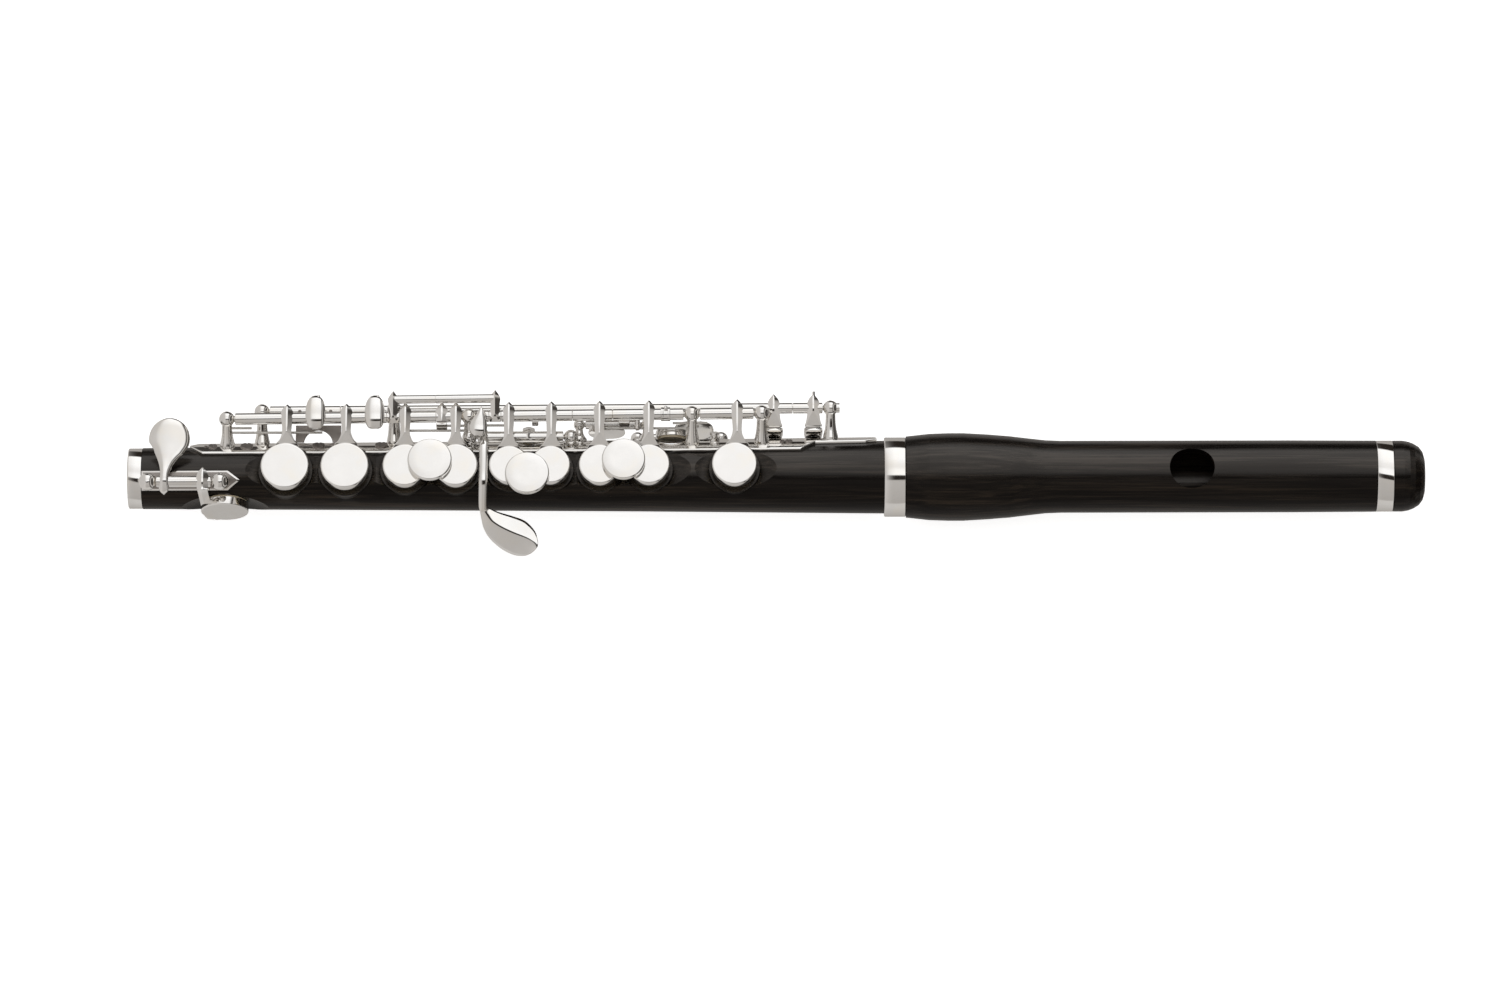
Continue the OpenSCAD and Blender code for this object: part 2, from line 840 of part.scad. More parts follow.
module thumb_key() {
    hole = thumb_hole;
    color(SILVER)
        swung(thumb_line, -thumb_open)
            difference() {
                union() {
                    bar(thumb_line, 128.8, 146.2, thumb_tube_r);
                    cup(hole, small_cup_h);
                    side_plate(hole[0], 2.6, [[12.4, -6.4], [12.6, -3], [11.4, 1], [10.1, 1], [11.2, -6.4]]);
                    side_plate(142, 2.4, [[12.8, -5.8], [12.9, -1], [11.5, -1], [11.4, -5.8]]);
                    facing(100, 141.2)
                        translate([0, 0, 12])
                            linear_extrude(1.1)
                                hull()
                                    for (dx = [-1.6, 1.6])
                                        translate([dx, 0])
                                            circle(r = 3.4, $fn = small_fn);
                }
                cup_cavity(hole, small_cup_h);
                bar(thumb_line, 128, 147, small_steel_r + run);
            }
}

module thumb_pad() {
    swung(thumb_line, -thumb_open)
        pad(thumb_hole, small_cup_h);
}

module thumb_b_flat_lever() {
    x = 119.4;
    color(SILVER)
        difference() {
            union() {
                bar(thumb_b_flat_line, 114.2, 127.8, thumb_b_flat_tube_r);
                side_plate(x, 2.4, [[11.8, 4.4], [13.5, 3.4], [12.8, -1], [11.7, -1], [12, 3]]);
                side_plate(x - 3.5, 1.8, [[11.6, 3.6], [11.7, 5], [10.2, 6.6], [9.6, 6], [11, 4]]);
                facing(98, x)
                    translate([0, 0, 11.6])
                        linear_extrude(1)
                            hull()
                                for (dx = [-2, 2])
                                    translate([dx, 0.6])
                                        circle(r = 2.8, $fn = small_fn);
            }
            bar(thumb_b_flat_line, 113, 129, small_steel_r + run);
        }
}

// Trill keys
module trill_cup_parts(hole) {
    p = along(trill_line, hole[0]);
    lid = hole[3] + pad_out + small_cup_h;
    cup(hole, small_cup_h);
    side_plate(hole[0], 3, [
        [p[1] - 0.6, p[2] + 1.9], [p[1] + 1.2, p[2] + 0.8], beside(hole[1], lid + 1.4, 3.4),
        beside(hole[1], lid + 1.1, -0.8), beside(hole[1], lid - 0.2, -0.8), beside(hole[1], lid - 0.2, 2.6),
        [p[1] - 1.2, p[2] + 0.2]
    ]);
}

module trill_touch(x) {
    p = along(trill_line, x);
    side_plate(x, 2.2, [
        [p[1] - 0.4, p[2] + 0.8], [p[1] + 1.2, p[2] + 0.2], [18.2, 11.7], [18.2, 12.6], [16.4, 12.6],
        [16.6, 11]
    ]);
    translate([x, 14, 11.6])
        linear_extrude(1.1)
            hull()
                for (dy = [-2, 2])
                    translate([0, dy])
                        circle(r = 2.3, $fn = small_fn);
}

module trill_d_key() {
    hole = trill_d_hole;
    color(SILVER)
        difference() {
            union() {
                bar(trill_line, 53.1, 165.9, trill_tube_r);
                trill_touch(62.2);
                trill_cup_parts(hole);
            }
            cup_cavity(hole, small_cup_h);
            bar(trill_line, 52, 167, small_steel_r + run);
        }
}

module trill_d_pad() {
    pad(trill_d_hole, small_cup_h);
}

module trill_d_sharp_key() {
    hole = trill_d_sharp_hole;
    color(SILVER)
        difference() {
            union() {
                bar(trill_line, 35.4, 53, trill_tube_r);
                bar(trill_line, 166, 173.4, trill_tube_r);
                trill_touch(47.3);
                trill_cup_parts(hole);
            }
            cup_cavity(hole, small_cup_h);
            bar(trill_line, 34, 175, small_steel_r + press);
        }
}

module trill_d_sharp_pad() {
    pad(trill_d_sharp_hole, small_cup_h);
}

// Head joint
module head_wood() {
    color(WOOD)
        difference() {
            turned([
                [0, head_start], [10.15, head_start], [10.8, 200], [swell_r, 205], [swell_r, 208.5],
                [10.6, 215], [10.2, 220], [9.6, 225], [9.15, 229], [head_r, 233], [head_r, 290],
                [8.9, crown_ring_start],
                [head_r - ring_seat, crown_ring_start], [head_r - ring_seat, crown_ring_end - 0.1],
                [0, crown_ring_end - 0.1]
            ]);
            turned([
                [0, head_start - 1], [socket_r, head_start - 1], [socket_r, socket_end],
                [head_bore_r, socket_end], [head_bore_r, 320], [0, 320]
            ]);
            linear_extrude(through)
                embouchure_outline();
        }
}

// An oval made of two overlapping rounds and the strip between them
module embouchure_outline() {
    r = embouchure_w / 2;
    shift = (embouchure_len - embouchure_w) / 2;
    translate([embouchure_x, 0]) {
        for (dx = [-shift, shift])
            translate([dx, 0])
                circle(r = r, $fn = round_fn);
        square([2 * shift, 2 * r], center = true);
    }
}

module socket_ring() {
    color(SILVER)
        turned([
            [socket_r, body_len + 0.05], [9.8, body_len + 0.05], [9.92, body_len + 0.3],
            [9.92, head_start - 0.3], [9.8, head_start - 0.02], [socket_r, head_start - 0.02]
        ]);
}

module socket_liner() {
    color(SILVER)
        turned([
            [liner_r, body_len + 0.05], [socket_r - press, body_len + 0.05],
            [socket_r - press, socket_end - 0.05], [liner_r, socket_end - 0.05]
        ]);
}

module crown_ring() {
    color(SILVER)
        turned([
            [head_r - ring_seat + press, crown_ring_start + 0.02], [crown_r, crown_ring_start + 0.02],
            [crown_r, crown_ring_end], [head_r - ring_seat + press, crown_ring_end]
        ]);
}

module crown() {
    start = crown_ring_end + 0.1;
    color(WOOD)
        turned([
            [stopper_r + run, start - 3], [head_bore_r - 0.1, start - 3], [head_bore_r - 0.1, start],
            [crown_r, start], [crown_r, start + 2.4], [8.6, start + 3.9], [8.1, start + 5.2],
            [7.3, start + 6.5], [6.1, start + 7.4], [4.6, overall_len], [0, overall_len],
            [0, crown_tip_bore], [stopper_r + run, crown_tip_bore]
        ]);
}

module stopper_screw() {
    plate_r = head_bore_r - 0.06;
    tip = 319.8;
    color(SILVER)
        turned([
            [0, stopper_face], [plate_r, stopper_face], [plate_r, stopper_face + 1],
            [stopper_r, stopper_face + 1], [stopper_r, stopper_face + 13], [plate_r - 0.6, stopper_face + 13],
            [plate_r - 0.6, stopper_face + 15], [stopper_r, stopper_face + 15], [stopper_r, tip], [0, tip]
        ]);
}

module stopper_cork() {
    color(CORK)
        turned([
            [stopper_r + press, stopper_face + 1.02], [head_bore_r - 0.04, stopper_face + 1.02],
            [head_bore_r - 0.04, stopper_face + 12.9], [stopper_r + press, stopper_face + 12.9]
        ]);
}

body_wood();
foot_ring();
tenon_cork();
rib_strap();
strap_screws();
main_posts();
trill_posts();
d_sharp_posts();
g_sharp_post();
thumb_posts();
right_hand_steel();
left_hand_steel();
c_key_steel();
trill_steel();
d_sharp_steel();
g_sharp_steel();
thumb_steel();
thumb_b_flat_steel();
needle_springs();
trill_stop_plate();
stop_pillar();
d_key();
d_pad();
e_key();
e_pad();
f_key();
f_touch();
f_pad();
f_sharp_key();
f_sharp_pad();
g_key();
g_touch();
g_pads();
a_key();
a_touch();
a_pad();
b_flat_key();
b_flat_pad();
b_flat_bridge();
b_flat_lever();
c_key();
c_pad();
d_sharp_key();
d_sharp_pad();
g_sharp_key();
g_sharp_pad();
thumb_key();
thumb_pad();
thumb_b_flat_lever();
trill_d_key();
trill_d_pad();
trill_d_sharp_key();
trill_d_sharp_pad();
head_wood();
socket_ring();
socket_liner();
crown_ring();
crown();
stopper_screw();
stopper_cork();
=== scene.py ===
"""Piccolo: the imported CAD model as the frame, with finely shaped silver keys and procedural finishes."""
import json
import math

import bmesh
import bpy
from mathutils import Matrix, Vector


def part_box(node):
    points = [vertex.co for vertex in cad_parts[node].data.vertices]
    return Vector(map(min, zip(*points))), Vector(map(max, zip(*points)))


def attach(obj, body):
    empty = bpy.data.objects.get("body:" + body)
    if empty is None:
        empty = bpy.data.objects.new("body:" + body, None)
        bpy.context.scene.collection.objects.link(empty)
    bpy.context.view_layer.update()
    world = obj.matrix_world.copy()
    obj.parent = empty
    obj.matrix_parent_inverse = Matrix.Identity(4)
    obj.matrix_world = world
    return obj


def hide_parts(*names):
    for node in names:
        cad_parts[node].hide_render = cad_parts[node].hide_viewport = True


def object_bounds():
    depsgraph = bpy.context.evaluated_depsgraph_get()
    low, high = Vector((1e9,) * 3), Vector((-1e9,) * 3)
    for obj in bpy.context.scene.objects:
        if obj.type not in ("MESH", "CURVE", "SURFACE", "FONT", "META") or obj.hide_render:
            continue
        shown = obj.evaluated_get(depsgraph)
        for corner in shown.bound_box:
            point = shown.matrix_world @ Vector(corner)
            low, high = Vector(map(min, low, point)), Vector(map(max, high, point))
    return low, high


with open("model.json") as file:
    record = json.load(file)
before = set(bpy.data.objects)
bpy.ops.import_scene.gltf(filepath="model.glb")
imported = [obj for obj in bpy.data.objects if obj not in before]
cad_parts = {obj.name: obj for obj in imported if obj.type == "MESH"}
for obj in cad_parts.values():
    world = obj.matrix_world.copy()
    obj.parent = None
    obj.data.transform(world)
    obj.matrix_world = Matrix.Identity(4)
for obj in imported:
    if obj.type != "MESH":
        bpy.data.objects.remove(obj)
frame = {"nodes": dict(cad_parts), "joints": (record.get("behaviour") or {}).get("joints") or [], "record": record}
CAD_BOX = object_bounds()
NODES = frame["nodes"]
RECORD = frame["record"]
JOINTS = {joint["name"]: joint for joint in frame["joints"]}
MM = 0.001

# Camera: elevation, distance, lens, the point it looks at and a slight roll. Floor: gap below, and glow
ELEVATION = math.radians(74)
CAMERA_DISTANCE = 2.1
LENS_MM = 201.6
SENSOR_MM = 36
MIDDLE_X = 155.25 * MM
DROP_BELOW_AXIS = 5.65 * MM
ROLL = math.radians(0.115)
FLOOR_GAP = 1.0 * MM
TABLE_GLOW = 0.8

# Directions: along the bore, from the object to the camera, and upwards in the camera's picture
X_AXIS = Vector((1, 0, 0))
VIEW = Vector((0, -math.cos(ELEVATION), math.sin(ELEVATION)))
IMAGE_UP = Vector((0, math.sin(ELEVATION), math.cos(ELEVATION)))


# ---------------------------------------------------------------- materials

class Shader:
    """A small helper that adds and links shader nodes in one material or world."""

    def __init__(self, tree):
        self.tree = tree
        tree.nodes.clear()

    def add(self, kind, inputs=None, **settings):
        node = self.tree.nodes.new(kind)
        for key, value in settings.items():
            setattr(node, key, value)
        for key, value in (inputs or {}).items():
            self.feed(node.inputs[key], value)
        return node

    def feed(self, socket, value):
        if isinstance(value, bpy.types.NodeSocket):
            self.tree.links.new(value, socket)
        else:
            socket.default_value = value

    def math(self, operation, a, b=0.0, c=0.0):
        node = self.add("ShaderNodeMath", operation=operation)
        for socket, value in zip(node.inputs, (a, b, c)):
            self.feed(socket, value)
        return node.outputs[0]

    def ramp(self, value, stops):
        """A colour ramp through (place, colour) stops."""
        node = self.add("ShaderNodeValToRGB", {"Fac": value})
        elements = node.color_ramp.elements
        while len(elements) < len(stops):
            elements.new(0.5)
        for element, (place, colour) in zip(elements, stops):
            element.position = place
            element.color = tuple(colour) + (1,) if len(colour) == 3 else colour
        return node.outputs["Color"]

    def mixed(self, a, b, amount, blend="MIX"):
        inputs = {"Factor": amount, "A": a, "B": b}
        node = self.add("ShaderNodeMix", inputs, data_type="RGBA", blend_type=blend)
        return [out for out in node.outputs if out.type == "RGBA"][0]

    def multiplied(self, a, b):
        return self.mixed(a, b, 1.0, "MULTIPLY")

    def dot(self, vector, direction):
        inputs = {0: vector, 1: direction}
        return self.add("ShaderNodeVectorMath", inputs, operation="DOT_PRODUCT").outputs["Value"]

    def noise(self, vector, scale, detail=4.0, rough=0.55, distortion=0.0):
        inputs = {
            "Vector": vector, "Scale": scale, "Detail": detail, "Roughness": rough, "Distortion": distortion
        }
        return self.add("ShaderNodeTexNoise", inputs).outputs["Fac"]

    def stretched(self, scale, turn=(0, 0, 0)):
        coords = self.add("ShaderNodeTexCoord").outputs["Object"]
        inputs = {"Vector": coords, "Scale": scale, "Rotation": turn}
        return self.add("ShaderNodeMapping", inputs).outputs["Vector"]


DARK = (0.022, 0.018, 0.015)


def grey(level):
    return (level, level, level)


def new_material(name):
    material = bpy.data.materials.new(name)
    material.use_nodes = True
    return material, Shader(material.node_tree)


def principled(shader, **inputs):
    named = {key.replace("_", " "): value for key, value in inputs.items()}
    surface = shader.add("ShaderNodeBsdfPrincipled", named)
    shader.add("ShaderNodeOutputMaterial", {"Surface": surface.outputs["BSDF"]})


def make_wood():
    """Near-black grenadilla: olive-brown grain streaks, fine open pores, satin oil finish, painted sheen."""
    material, s = new_material("grenadilla_wood")
    broad = s.noise(s.stretched((14, 330, 330), (0.05, 0, 0.02)), 1.0, 6.0, 0.6, 0.7)
    fine = s.noise(s.stretched((38, 1500, 1500), (0, 0, 0.03)), 1.0, 4.0, 0.6)
    pores = s.noise(s.stretched((120, 4200, 4200)), 1.0, 2.0, 0.5)
    grain = s.math("MULTIPLY_ADD", fine, 0.4, s.math("MULTIPLY", broad, 0.6))
    base = s.ramp(grain, [
        (0.0, (0.0026, 0.0020, 0.0018)), (0.46, (0.0038, 0.0028, 0.0024)), (0.54, (0.0085, 0.0058, 0.0040)),
        (0.62, (0.0200, 0.0130, 0.0076)), (1.0, (0.0360, 0.0225, 0.0125)),
    ])
    open_pores = s.ramp(pores, [(0.34, grey(0.5)), (0.44, grey(1.0)), (1.0, grey(1.1))])
    mixed = s.multiplied(base, open_pores)
    rough = s.ramp(grain, [(0.38, grey(0.20)), (0.62, grey(0.32))])
    gloss = s.ramp(grain, [(0.34, grey(0.44)), (0.50, grey(0.56)), (0.62, grey(0.80))])
    # Painted sheen: gloss rises where the surface faces up in the picture, and it does not turn with the wood
    normal = s.add("ShaderNodeNewGeometry").outputs["Normal"]
    facing = s.math("MULTIPLY_ADD", s.dot(normal, IMAGE_UP), 0.5, 0.5)
    painted_sheen = s.ramp(facing, [
        (0.0, grey(0.20)), (0.40, grey(0.33)), (0.55, grey(0.70)), (0.68, grey(1.08)),
    ])
    gloss = s.math("MULTIPLY", gloss, painted_sheen)
    bump = s.add("ShaderNodeBump", {"Strength": 0.14, "Distance": 0.00006, "Height": pores})
    principled(s, Base_Color=mixed, Roughness=rough, Normal=bump.outputs["Normal"], IOR=1.5,
               Specular_IOR_Level=gloss, Specular_Tint=(1.0, 0.93, 0.87, 1.0))
    return material


def make_silver(name="polished_silver", rough=0.07, tint=(0.93, 0.915, 0.895), marks=1.0):
    """Polished metal with fine wiping marks and faint warm clouds of tarnish."""
    material, s = new_material(name)
    soft = s.stretched((160, 160, 160))
    fine = s.stretched((900, 2600, 2600), (0, 0, 0.35))
    cloud = s.noise(soft, 1.0, 5.0, 0.6)
    wipes = s.noise(fine, 1.0, 3.0, 0.5)
    dull = [channel * 0.955 for channel in tint]
    warm = (tint[0] * 0.97, tint[1] * 0.945, tint[2] * 0.9)
    colour = s.ramp(cloud, [(0.25, warm), (0.5, dull), (0.75, tint)])
    roughness = s.ramp(cloud, [(0.3, grey(rough * 0.8)), (0.72, grey(rough * 1.6))])
    bump = s.add("ShaderNodeBump", {"Strength": 0.05 * marks, "Distance": 0.00002, "Height": wipes})
    principled(s, Base_Color=colour, Metallic=1.0, Roughness=roughness, Normal=bump.outputs["Normal"])
    return material


def make_steel():
    """Ground steel of the rods and needle springs, brushed along their length."""
    material, s = new_material("ground_steel")
    lines = s.noise(s.stretched((60, 5000, 5000)), 1.0, 2.0)
    colour = s.ramp(lines, [(0.3, (0.52, 0.50, 0.47)), (0.7, (0.72, 0.70, 0.66))])
    bump = s.add("ShaderNodeBump", {"Strength": 0.1, "Distance": 0.00001, "Height": lines})
    principled(s, Base_Color=colour, Metallic=1.0, Roughness=0.28, Normal=bump.outputs["Normal"])
    return material


def make_pad_skin():
    """Cream pad skin, stretched smooth over felt, with a faint cloudy tone."""
    material, s = new_material("pad_skin")
    cloud = s.noise(s.stretched((700, 700, 700)), 1.0, 5.0, 0.6)
    colour = s.ramp(cloud, [(0.3, (0.60, 0.50, 0.34)), (0.7, (0.78, 0.69, 0.52))])
    bump = s.add("ShaderNodeBump", {"Strength": 0.25, "Distance": 0.00005, "Height": cloud})
    principled(s, Base_Color=colour, Roughness=0.5, Normal=bump.outputs["Normal"],
               Subsurface_Weight=0.08, Subsurface_Radius=(0.001, 0.0007, 0.0004))
    return material


def make_cork():
    """Fine-grained cork: warm grain cells with small dark flecks."""
    material, s = new_material("cork")
    cells = s.add("ShaderNodeTexVoronoi", {"Vector": s.stretched((900, 900, 900)), "Scale": 1.0})
    flecks = s.noise(s.stretched((1500, 1500, 1500)), 1.0, 3.0)
    colour = s.ramp(cells.outputs["Distance"], [(0.1, (0.46, 0.28, 0.14)), (0.7, (0.62, 0.42, 0.23))])
    dark = s.ramp(flecks, [(0.3, grey(0.45)), (0.42, grey(1.0))])
    mixed = s.multiplied(colour, dark)
    bump = s.add("ShaderNodeBump", {"Strength": 0.6, "Distance": 0.0001, "Height": cells.outputs["Distance"]})
    principled(s, Base_Color=mixed, Roughness=0.8, Normal=bump.outputs["Normal"])
    return material


def make_floor_material():
    """White translucent studio table with a little light from below, which keeps the shadows faint."""
    material, s = new_material("studio_table")
    cloud = s.noise(s.stretched((3, 3, 3)), 1.0, 3.0)
    colour = s.ramp(cloud, [(0.3, grey(0.93)), (0.7, grey(0.96))])
    principled(s, Base_Color=colour, Roughness=0.9, Specular_IOR_Level=0.1,
               Emission_Color=(1, 1, 1, 1), Emission_Strength=TABLE_GLOW)
    return material


MATERIALS = {
    "grenadilla": make_wood(),
    "silver": make_silver(),
    "hinge_steel": make_steel(),
    "screw_steel": make_silver("worn_nickel", 0.3, (0.36, 0.33, 0.31), 2.0),
    "pad_skin": make_pad_skin(),
    "cork": make_cork(),
}

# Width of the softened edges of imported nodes, in millimetres
SOFT_EDGES = {
    "foot_ring": 0.12, "socket_ring": 0.2, "crown_ring": 0.2, "d_sharp_posts": 0.14,
    "trill_stop_plate": 0.1,
}
WELD_GAP = 0.004
SOFTEN_ABOVE = math.radians(38)


def dress_cad_nodes():
    """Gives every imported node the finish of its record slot, but the stop plate that of the screws.
    The edges of some are softened."""
    slots = {part["node"]: part["material_slot"] for part in RECORD["subparts"]}
    slots["trill_stop_plate"] = "screw_steel"
    for name, piece in NODES.items():
        piece.data.materials.clear()
        piece.data.materials.append(MATERIALS[slots[name]])
        if name in SOFT_EDGES:
            weld = piece.modifiers.new("weld", "WELD")
            weld.merge_threshold = WELD_GAP * MM
            bevel = piece.modifiers.new("soft_edges", "BEVEL")
            bevel.width = SOFT_EDGES[name] * MM
            bevel.segments = 3
            bevel.limit_method = "ANGLE"
            bevel.angle_limit = SOFTEN_ABOVE
            bevel.harden_normals = True


# ---------------------------------------------------------------- mesh building, in millimetres

TINY = 1e-6
MERGE_GAP = 0.002
SMOOTH_BELOW = math.radians(19)
ARM_STEPS = 6
UP = Vector((0, 0, 1))
# Outer radius of the body at places along it
WOOD_RADII = [(0, 7.65), (80, 8.15), (130, 8.5), (188.7, 9.12)]


def add_piece(name, bm, slot, body, *replaced):
    """Turns a mesh drawn in millimetres into a piece of the model that rides on a body."""
    bmesh.ops.remove_doubles(bm, verts=bm.verts, dist=MERGE_GAP)
    bmesh.ops.recalc_face_normals(bm, faces=bm.faces)
    bm.transform(Matrix.Scale(MM, 4))
    for face in bm.faces:
        face.smooth = True
    for edge in bm.edges:
        edge.smooth = edge.calc_face_angle(0) < SMOOTH_BELOW
    mesh = bpy.data.meshes.new(name)
    bm.to_mesh(mesh)
    bm.free()
    mesh.materials.append(MATERIALS[slot])
    piece = bpy.data.objects.new(name, mesh)
    bpy.context.scene.collection.objects.link(piece)
    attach(piece, body)
    if replaced:
        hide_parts(*replaced)


def mix(a, b, t):
    return a + (b - a) * t


def interpolate(stops, x):
    """The value at x on a line of straight stretches through (place, value) stops."""
    for (x0, a), (x1, b) in zip(stops, stops[1:]):
        if x <= x1:
            return mix(a, b, max(0.0, (x - x0) / (x1 - x0)))
    return stops[-1][1]


def seen_at(x, rise, z):
    """The point at place x and height z that stands rise above the bore axis in the camera's picture."""
    return Vector((x, (rise - z * IMAGE_UP.z) / IMAGE_UP.y, z))


def skin(bm, rings, closed=False):
    """Joins loops of vertices with faces. A loop of one vertex is a pole."""
    pairs = list(zip(rings, rings[1:]))
    if closed:
        pairs.append((rings[-1], rings[0]))
    for low, high in pairs:
        count = max(len(low), len(high))
        for i in range(count):
            j = (i + 1) % count
            corners = [low[i % len(low)], low[j % len(low)], high[j % len(high)], high[i % len(high)]]
            unique = list(dict.fromkeys(corners))
            if len(unique) > 2:
                bm.faces.new(unique)


def lathe(bm, profile, origin, axis, segments, closed=False):
    """Revolves (distance along the axis, radius) points about an axis through origin."""
    side = axis.orthogonal().normalized()
    other = axis.cross(side)
    rings = []
    for distance, radius in profile:
        middle = origin + axis * distance
        if radius < TINY:
            rings.append([bm.verts.new(middle)])
            continue
        angles = [2 * math.pi * i / segments for i in range(segments)]
        rings.append([
            bm.verts.new(middle + radius * (math.cos(a) * side + math.sin(a) * other)) for a in angles
        ])
    skin(bm, rings, closed)


def loft(bm, rings):
    """Skins loops of points and closes both ends."""
    loops = [[bm.verts.new(point) for point in ring] for ring in rings]
    skin(bm, loops)
    bm.faces.new(loops[0])
    bm.faces.new(list(reversed(loops[-1])))


def curve_points(controls, steps):
    """Points on a smooth curve that passes through the control points, which may have any number of parts."""
    controls = [Vector(control) for control in controls]
    padded = [2 * controls[0] - controls[1]] + controls + [2 * controls[-1] - controls[-2]]
    points = []
    for a, b, c, d in zip(padded, padded[1:], padded[2:], padded[3:]):
        for i in range(steps):
            t = i / steps
            points.append(0.5 * (2 * b + (c - a) * t + (2 * a - 5 * b + 4 * c - d) * t * t
                                 + (3 * b - a - 3 * c + d) * t ** 3))
    return points + [controls[-1]]


def frames(path, outward):
    """For each point of a path: the point, the direction across the path and the direction away from it."""
    ends = [path[0]] + list(path) + [path[-1]]
    for point, before, after, out in zip(path, ends, ends[2:], outward):
        along = (after - before).normalized()
        side = along.cross(out).normalized()
        yield point, side, side.cross(along).normalized()


def ridged(bm, controls, outward=UP, pitch=0.5, depth=0.95):
    """A forged key arm. Controls: (point on the ridge, half width, half width of the flat on the ridge)."""
    samples = curve_points([(*point, half, flat) for point, half, flat in controls], ARM_STEPS)
    path = [Vector(sample[:3]) for sample in samples]
    directions = outward if isinstance(outward, list) else [outward] * len(path)
    rings = []
    for sample, (point, side, top) in zip(samples, frames(path, directions)):
        half = max(0.02, sample[3])
        flat = min(max(0.0, sample[4]), half - 0.02)
        fall = (half - flat) * pitch
        wall = depth * min(1.0, half / 0.7)
        rings.append([point + side * across - top * down for across, down in (
            (-half * 0.8, fall + wall), (-half, fall + wall * 0.8), (-half, fall), (-flat, 0), (flat, 0),
            (half, fall), (half, fall + wall * 0.8), (half * 0.8, fall + wall))])
    loft(bm, rings)


def pebble(bm, controls, outward=UP, steps=6, square=2.6, sides=44):
    """A smooth polished form along a spine. Controls: (point, half width, height above, depth below)."""
    samples = curve_points([(*point, half, high, low) for point, half, high, low in controls], steps)
    path = [Vector(sample[:3]) for sample in samples]
    rings = []
    for sample, (point, side, top) in zip(samples, frames(path, [outward] * len(path))):
        half, high, low = (max(0.02, value) for value in sample[3:])
        ring = []
        for i in range(sides):
            c = math.cos(2 * math.pi * i / sides)
            s = math.sin(2 * math.pi * i / sides)
            across = math.copysign(abs(c) ** (2 / square), c) * half
            rise = math.copysign(abs(s) ** (2 / square), s) * (high if s > 0 else low)
            ring.append(point + side * across + top * rise)
        rings.append(ring)
    loft(bm, rings)


# ---------------------------------------------------------------- hinges and cups

# Key tubes: outer radii, bores over the two sizes of rod, and the chamfer of their ends
TUBE_R = 1.46
TRILL_TUBE_R = 1.35
TUBE_BORE = 0.83
SMALL_BORE = 0.63
CHAMFER = 0.1
# Cups: wall, lid, gap round the pad, how far the pad stands out, and reach round the place given for a pad
CUP_WALL = 0.35
CUP_LID = 0.5
PAD_GAP = 0.02
PAD_OUT = 0.5
PAD_REACH = 5
# Angles of the side cups round the body, in degrees from +Z towards +Y
D_SHARP_ANGLE = -86
G_SHARP_ANGLE = 82
THUMB_ANGLE = 78
TRILL_ANGLE = 118


class Hinge:
    """The hinge line of a joint, in millimetres, and the angle its key stands open at rest."""

    def __init__(self, joint, open_at_rest=False):
        self.point = Vector(JOINTS[joint]["pos_m"]) / MM
        self.axis = Vector(JOINTS[joint]["axis"]).normalized()
        self.open_angle = math.radians(JOINTS[joint]["range_deg"][1]) if open_at_rest else 0.0

    def at(self, x, y=0.0, z=0.0):
        """The point of the hinge line at place x, moved by y and z."""
        return self.point + self.axis * ((x - self.point.x) / self.axis.x) + Vector((0, y, z))

    def turn(self, angle):
        there = Matrix.Translation(self.point)
        return there @ Matrix.Rotation(angle, 4, self.axis) @ there.inverted()

    def closing(self):
        return self.turn(self.open_angle)

    def opening(self):
        return self.turn(-self.open_angle)

    def tube(self, bm, start, end, radius=TUBE_R, bore=TUBE_BORE):
        axis = self.axis if self.axis.x > 0 else -self.axis
        length = (self.at(end) - self.at(start)).length
        lathe(bm, [
            (0, bore), (0, radius - CHAMFER), (CHAMFER, radius), (length - CHAMFER, radius),
            (length, radius - CHAMFER), (length, bore)
        ], self.at(start), axis, 48, closed=True)


def outward_at(degrees):
    """The direction away from the bore at an angle from +Z towards +Y."""
    return Vector((0, math.sin(math.radians(degrees)), math.cos(math.radians(degrees))))


class Cup:
    """A key cup worked out from the pad it holds, with its key closed."""

    def __init__(self, pad_node, hinge, angle=0.0, near=None):
        closing = hinge.closing()
        points = [closing @ (vertex.co / MM) for vertex in NODES[pad_node].data.vertices]
        if near is not None:
            points = [point for point in points if abs(point.x - near) < PAD_REACH]
        self.angle = angle
        self.out = outward_at(angle)
        self.high = outward_at(angle - 90)
        heights = [point.dot(self.out) for point in points]
        sideways = [point.dot(self.high) for point in points]
        across = [point.x for point in points]
        self.x = (min(across) + max(across)) / 2
        self.radius = (max(across) - min(across)) / 2 + CUP_WALL + PAD_GAP
        self.rim = min(heights) - PAD_GAP + PAD_OUT
        self.lid = max(heights) + CUP_LID
        self.centre = Vector((self.x, 0, 0)) + self.high * (min(sideways) + max(sideways)) / 2

    def at(self, out, high=0.0, x=0.0):
        """A point by its height over the bore axis, its place across the cup and its place along the bore."""
        return self.centre + self.out * out + self.high * high + X_AXIS * x

    def shell(self, bm):
        """The cup: thin wall, rounded shoulder and a flat face with a barely raised middle."""
        r = self.radius
        top = self.lid
        low = self.rim
        lathe(bm, [
            (top + 0.012, 0), (top + 0.010, r * 0.5), (top + 0.004, r - 0.5), (top, r - 0.3),
            (top - 0.015, r - 0.24), (top - 0.05, r - 0.165), (top - 0.105, r - 0.09),
            (top - 0.18, r - 0.035), (top - 0.27, r - 0.005), (top - 0.36, r),
            (low + 0.12, r), (low + 0.03, r - 0.03), (low, r - 0.1),
            (low, r - CUP_WALL), (top - CUP_LID + 0.01, r - CUP_WALL), (top - CUP_LID + 0.01, 0)
        ], self.centre, self.out, 96)


# ---------------------------------------------------------------- keys of the top row

